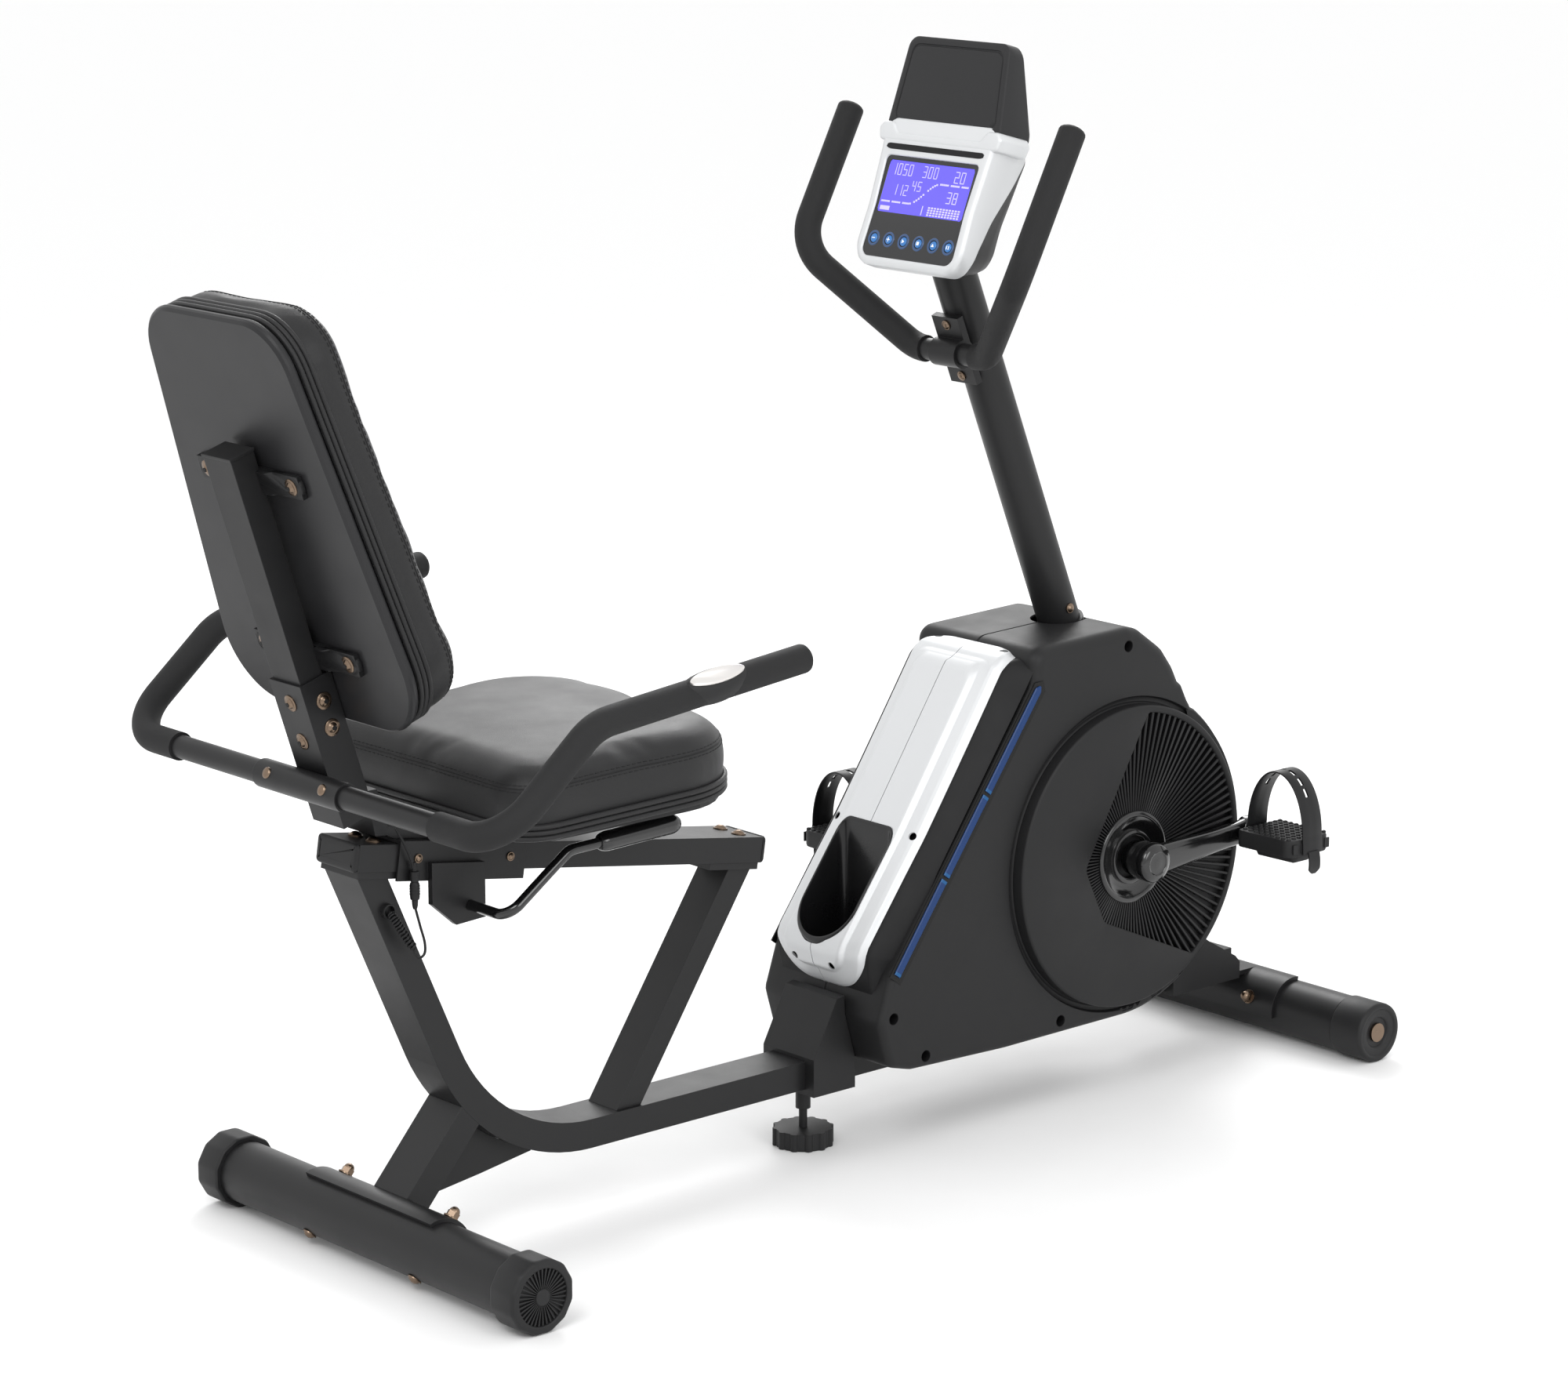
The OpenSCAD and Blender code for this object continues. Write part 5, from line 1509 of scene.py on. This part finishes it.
def strap(name, at):
    """A band over the foot with a row of long holes, joined at both sides and trailing a tail outside."""
    foot = [(45.5, -9), (45.2, -2), (44.8, 5)]
    path = [Vector(p) for p in foot]
    path += [Vector((44 * math.cos(t), 12 + 73 * math.sin(t))) for t in (math.pi * k / 80 for k in range(81))]
    path += [Vector((-x, z)) for x, z in reversed(foot)]
    fine = walk(path, [k / STRAP_STEPS for k in range(STRAP_STEPS + 1)])[0]
    half, thick = 17, 2.4
    across = [-half, -half + 1, -4.2, -2.6, 2.6, 4.2, half - 1, half]
    n, m = len(fine), len(across)
    verts, faces = [], []
    for i, p in enumerate(fine):
        d = heading(fine, i)
        out = Vector((d.y, -d.x))
        for level, way in ((0, 1), (thick, -1)):
            for a in across:
                verts.append(at(a, *(p + out * (level + way * (0.5 if abs(a) == half else 0)))))

    def index(i, layer, k):
        return (i * 2 + layer) * m + k

    def open_here(i, k):
        return k == 3 and 45 <= i < n - 1 - 45 and (i - 45) % 10 < 7

    def edge_wall(i, k):
        faces.append((index(i, 0, k), index(i + 1, 0, k), index(i + 1, 1, k), index(i, 1, k)))

    def cross_wall(i, k):
        faces.append((index(i, 0, k), index(i, 0, k + 1), index(i, 1, k + 1), index(i, 1, k)))

    for i in range(n - 1):
        for k in range(m - 1):
            if open_here(i, k):
                edge_wall(i, k)
                edge_wall(i, k + 1)
                continue
            faces.append((index(i, 0, k), index(i, 0, k + 1), index(i + 1, 0, k + 1), index(i + 1, 0, k)))
            faces.append((index(i, 1, k), index(i + 1, 1, k), index(i + 1, 1, k + 1), index(i, 1, k + 1)))
        for k in (0, m - 1):
            edge_wall(i, k)
    for i in range(1, n - 1):
        if open_here(i - 1, 3) != open_here(i, 3):
            cross_wall(i, 3)
    for i in (0, n - 1):
        for k in range(m - 1):
            cross_wall(i, k)
    tail = [(47.4, 0, -7), (48.6, 0, -12), (49.6, 0, -19), (49.4, 0, -27), (47.6, 0, -34)]
    tail = [Vector((p.x, p.z)) for p in spline(tail, 5)]
    rings = []
    for i, p in enumerate(tail):
        d = heading(tail, i)
        q = p + Vector((-d.y, d.x)) * 2
        w = 9.5 - 1.6 * max(0, i - len(tail) + 5)
        rings.append([at(-w, *p), at(w, *p), at(w, *q), at(-w, *q)])
    make(name + "_pedal_strap", Shape((verts, faces), loft(rings)), name + "_pedal", strap_look,
         "black_plastic", sharp=0.7)


pedal_look = surface("pedal_plastic", (0.018, 0.018, 0.019), 0.55, grain=1600, bump=0.5, edge=0.0006)
strap_look = surface("strap_rubber", (0.014, 0.014, 0.015), 0.42, grain=1400, bump=0.35, edge=0.0005)
pedal(-1)
pedal(1)


def cranks():
    """Two arms that taper from the hub boss to the pedal boss, with domed caps."""
    shape = Shape()
    start = Vector(CRANK)
    hub = [(21, 120), (24, 138), (24.5, 141), (24.5, 155), (23.4, 159), (21, 161.2), (15, 162.3), (14, 161.4),
           (12.6, 161.2), (6, 162.2)]
    boss = [(14, 141.5), (16.5, 143), (17, 146), (17, 156.5), (16, 159.2), (13.5, 160.6), (9.5, 161.2),
            (8.6, 160.2), (7, 162), (7, 166)]

    def squared(value):
        return math.copysign(abs(value) ** 0.55, value)

    for sign in (-1, 1):
        d = Vector((math.cos(CRANK_RISE), math.sin(CRANK_RISE))) * sign
        n = Vector((-d.y, d.x))
        end = start + d * CRANK_LEN
        rings = []
        for t in (k / 20 for k in range(21)):
            c = start.lerp(end, t)
            w = 19 - 5.5 * smooth_step(t * 1.3) + 1.8 * smooth_step((t - 0.82) / 0.18)
            rings.append([side_view(*(c + n * (w * squared(math.cos(a)))),
                                    -sign * (150.25 + 8.25 * squared(math.sin(a)))) for a in angles(20)])
        shape.add(loft(rings))
        for centre, profile, count in ((start, hub, 64), (end, boss, 64), (end, [(7, 160), (7, 246)], 32)):
            shape.add(turned(centre, profile, count, -sign))
    shape.add(turned(CRANK, [(10, -140), (10, 140)], 40))
    make("crank_castings", shape, "crankset", gloss, "crank_gloss", replaces=["crank_arms"], sharp=0.8)


cranks()

# ---------------------------------------------------------------- end caps, rollers and collars
def rear_caps():
    """Ribbed caps with twelve flats round the rear stabilizer's ends."""
    centre = Vector((-610, 41.5))

    def ring(r, y):
        """Flat-sided outside the inner lip, round inside it."""
        row = []
        for a in angles(96):
            flat = r * math.cos(math.pi / 12) / math.cos((a - math.radians(15)) % (math.pi / 6) - math.pi / 12)
            reach = min(flat, r * 0.992) if r > 36 else r
            row.append((centre.x + reach * math.cos(a), y, centre.y + reach * math.sin(a)))
        return row

    rim = [(36.2, 252.4), (41.2, 252), (42.4, 253.2), (42.9, 255.5), (42.9, 286), (42.2, 289.4), (40.5, 291.4),
           (38, 292), (33, 292), (32, 291.2), (31.4, 287.6)]
    hub = [(9.4, 287), (9.4, 290.8), (8.6, 291.5), (4, 291.7)]
    shells = Shape(*(loft([ring(r, y) for r, y in profile], cap_first=False) for profile in (rim, hub)))
    fins = Shape()
    for a in angles(36):
        d, n = Vector((math.cos(a), math.sin(a))), Vector((-math.sin(a), math.cos(a)))
        fins.add(loft([[side_view(*(centre + d * r + n * s * (0.45 + 0.6 * (r - 9) / 23)), y)
                        for s, y in ((-1, 286), (-1, 290.4), (1, 290.4), (1, 286))] for r in (9, 32)]))
    make("rear_cap_shells", shells.mirrored(), "frame", black_plastic, "black_plastic", replaces=["end_caps"],
         sharp=0.6)
    make("rear_cap_fins", fins.mirrored(), "frame", black_plastic, "black_plastic", sharp=0.5)


def rail_caps():
    """Moulded plugs with rounded edges at both ends of the seat rail."""
    rail = tilt_frame(Vector((-648.5, 0, 490.1)), 9)
    plan = closed_outline([(-35, -30), (35, -30), (35, 0), (-35, 0)], [4, 4, 4, 4], 72)
    profile = [(0, 0.2), (-0.6, 0.4), (-0.8, 1.4), (-0.8, 3), (0.4, 4.4), (2.4, 4.9), (7, 5.0)]
    for name, s, way in (("rail_plug_rear", 0, -1), ("rail_plug_front", 578, 1)):
        rings = stepped(plan, profile, lambda a, b, out: tuple(rail @ Vector((s + way * out, a, b))))
        make(name, loft(rings), "frame", black_plastic, "black_plastic", sharp=0.7)


def rollers():
    """Front transport rollers with a stepped face round their bolt."""
    profile = [(30, 190.6), (36.5, 190.6), (37.6, 191.6), (38, 193), (38, 236), (37.4, 238.8), (35.6, 240.2),
               (32.5, 240.5), (31, 240.1), (29.6, 238.4), (22, 238.2), (20, 237.6), (18.6, 235.2), (12, 235)]
    for way, side in ((1, "left"), (-1, "right")):
        make("roller_%s_wheel" % side, turned((770, 38), profile, 72, way), side + "_roller", black_plastic,
             "black_plastic", replaces=["roller_" + side], sharp=0.8)


def sleeve():
    """Two bronze rivets in the sleeve round the seat handle's cross tube."""
    direction = Vector((-0.9, 0, 0.43)).normalized()
    profile = [(6.4, 0), (6.4, 0.8), (5.6, 1.8), (3.6, 2.7), (1.2, 3.0)]
    rivets = Shape(*(stud(Vector((-693.8, y, 557)) + direction * 15.4, direction, profile) for y in (50, -50)))
    make("sleeve_rivets", rivets, "seat", bronze, "hardware", sharp=0.8)


STRAP_HEIGHTS = (-138.8, -345.8)  # down the back pad from its top
BOLT_HEAD_R = 7

rear_caps()
rail_caps()
rollers()
sleeve()


def strap_tabs():
    """Rounded ends of the back pad's mounting straps, with a joggle beside the post."""
    shape = Shape()

    def joggled(a, b, level):
        return back_point(a, b, level - 5.5 * smooth_step((48 - abs(a)) / 9))

    for z in STRAP_HEIGHTS:
        for side in (1, -1):
            plan = closed_outline([(side * a, z + b) for a, b in ((24, -13), (92, -13), (92, 13), (24, 13))],
                                  [1, 12, 12, 1], 72)
            shape.add(loft(stepped(plan, [(0, -0.4), (0, -4.6), (0.5, -5.6), (1.6, -6.0)], joggled)))
    make("strap_tabs", shape, "seat", weld_paint, "frame_paint", sharp=0.7)


strap_tabs()


def hex_sockets():
    """Washers under the visible bolt heads, and near-black hexagons of painted shade for the sockets in their tops."""
    post = tilt_frame(Vector((-793.5, 0, 917)), -18)
    spots = [(post @ Vector((-3, 0, z)), post.to_3x3() @ Vector((-1, 0, 0))) for z in (-281, -327)]
    for side in (1, -1):
        spots += [(post @ Vector((20, side * 28, z)), (0, side, 0)) for z in (-284, -316)]
        spots += [(BACK_FRAME @ Vector((-6, side * 75, z)), BACK_FRAME.to_3x3() @ Vector((-1, 0, 0)))
                  for z in STRAP_HEIGHTS]
    socket_r, top = BOLT_HEAD_R * 0.40, 1.6 + BOLT_HEAD_R * 0.45
    washer = [(BOLT_HEAD_R + 2.6, -0.2), (BOLT_HEAD_R + 2.6, 0.9), (BOLT_HEAD_R + 2.0, 1.3)]
    washers = Shape(*(stud(at, way, washer) for at, way in spots))
    sockets = Shape(*(stud(at, way, [(socket_r, top - 0.6), (socket_r, top + 0.25)], 6) for at, way in spots))
    make("seat_washers", washers, "seat", bronze, "hardware", sharp=0.6)
    # painted shade: the near-black hexagons stand in for the shade inside the hex sockets
    make("seat_sockets", sockets, "seat", painted_shade_plastic, "hardware", sharp=0.6)


hex_sockets()


# ---------------------------------------------------------------- last lines
with open("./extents.json", "w") as out:
    json.dump({"cad": [list(p) for p in cad_box], "visual": [list(p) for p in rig.bounds()]}, out)
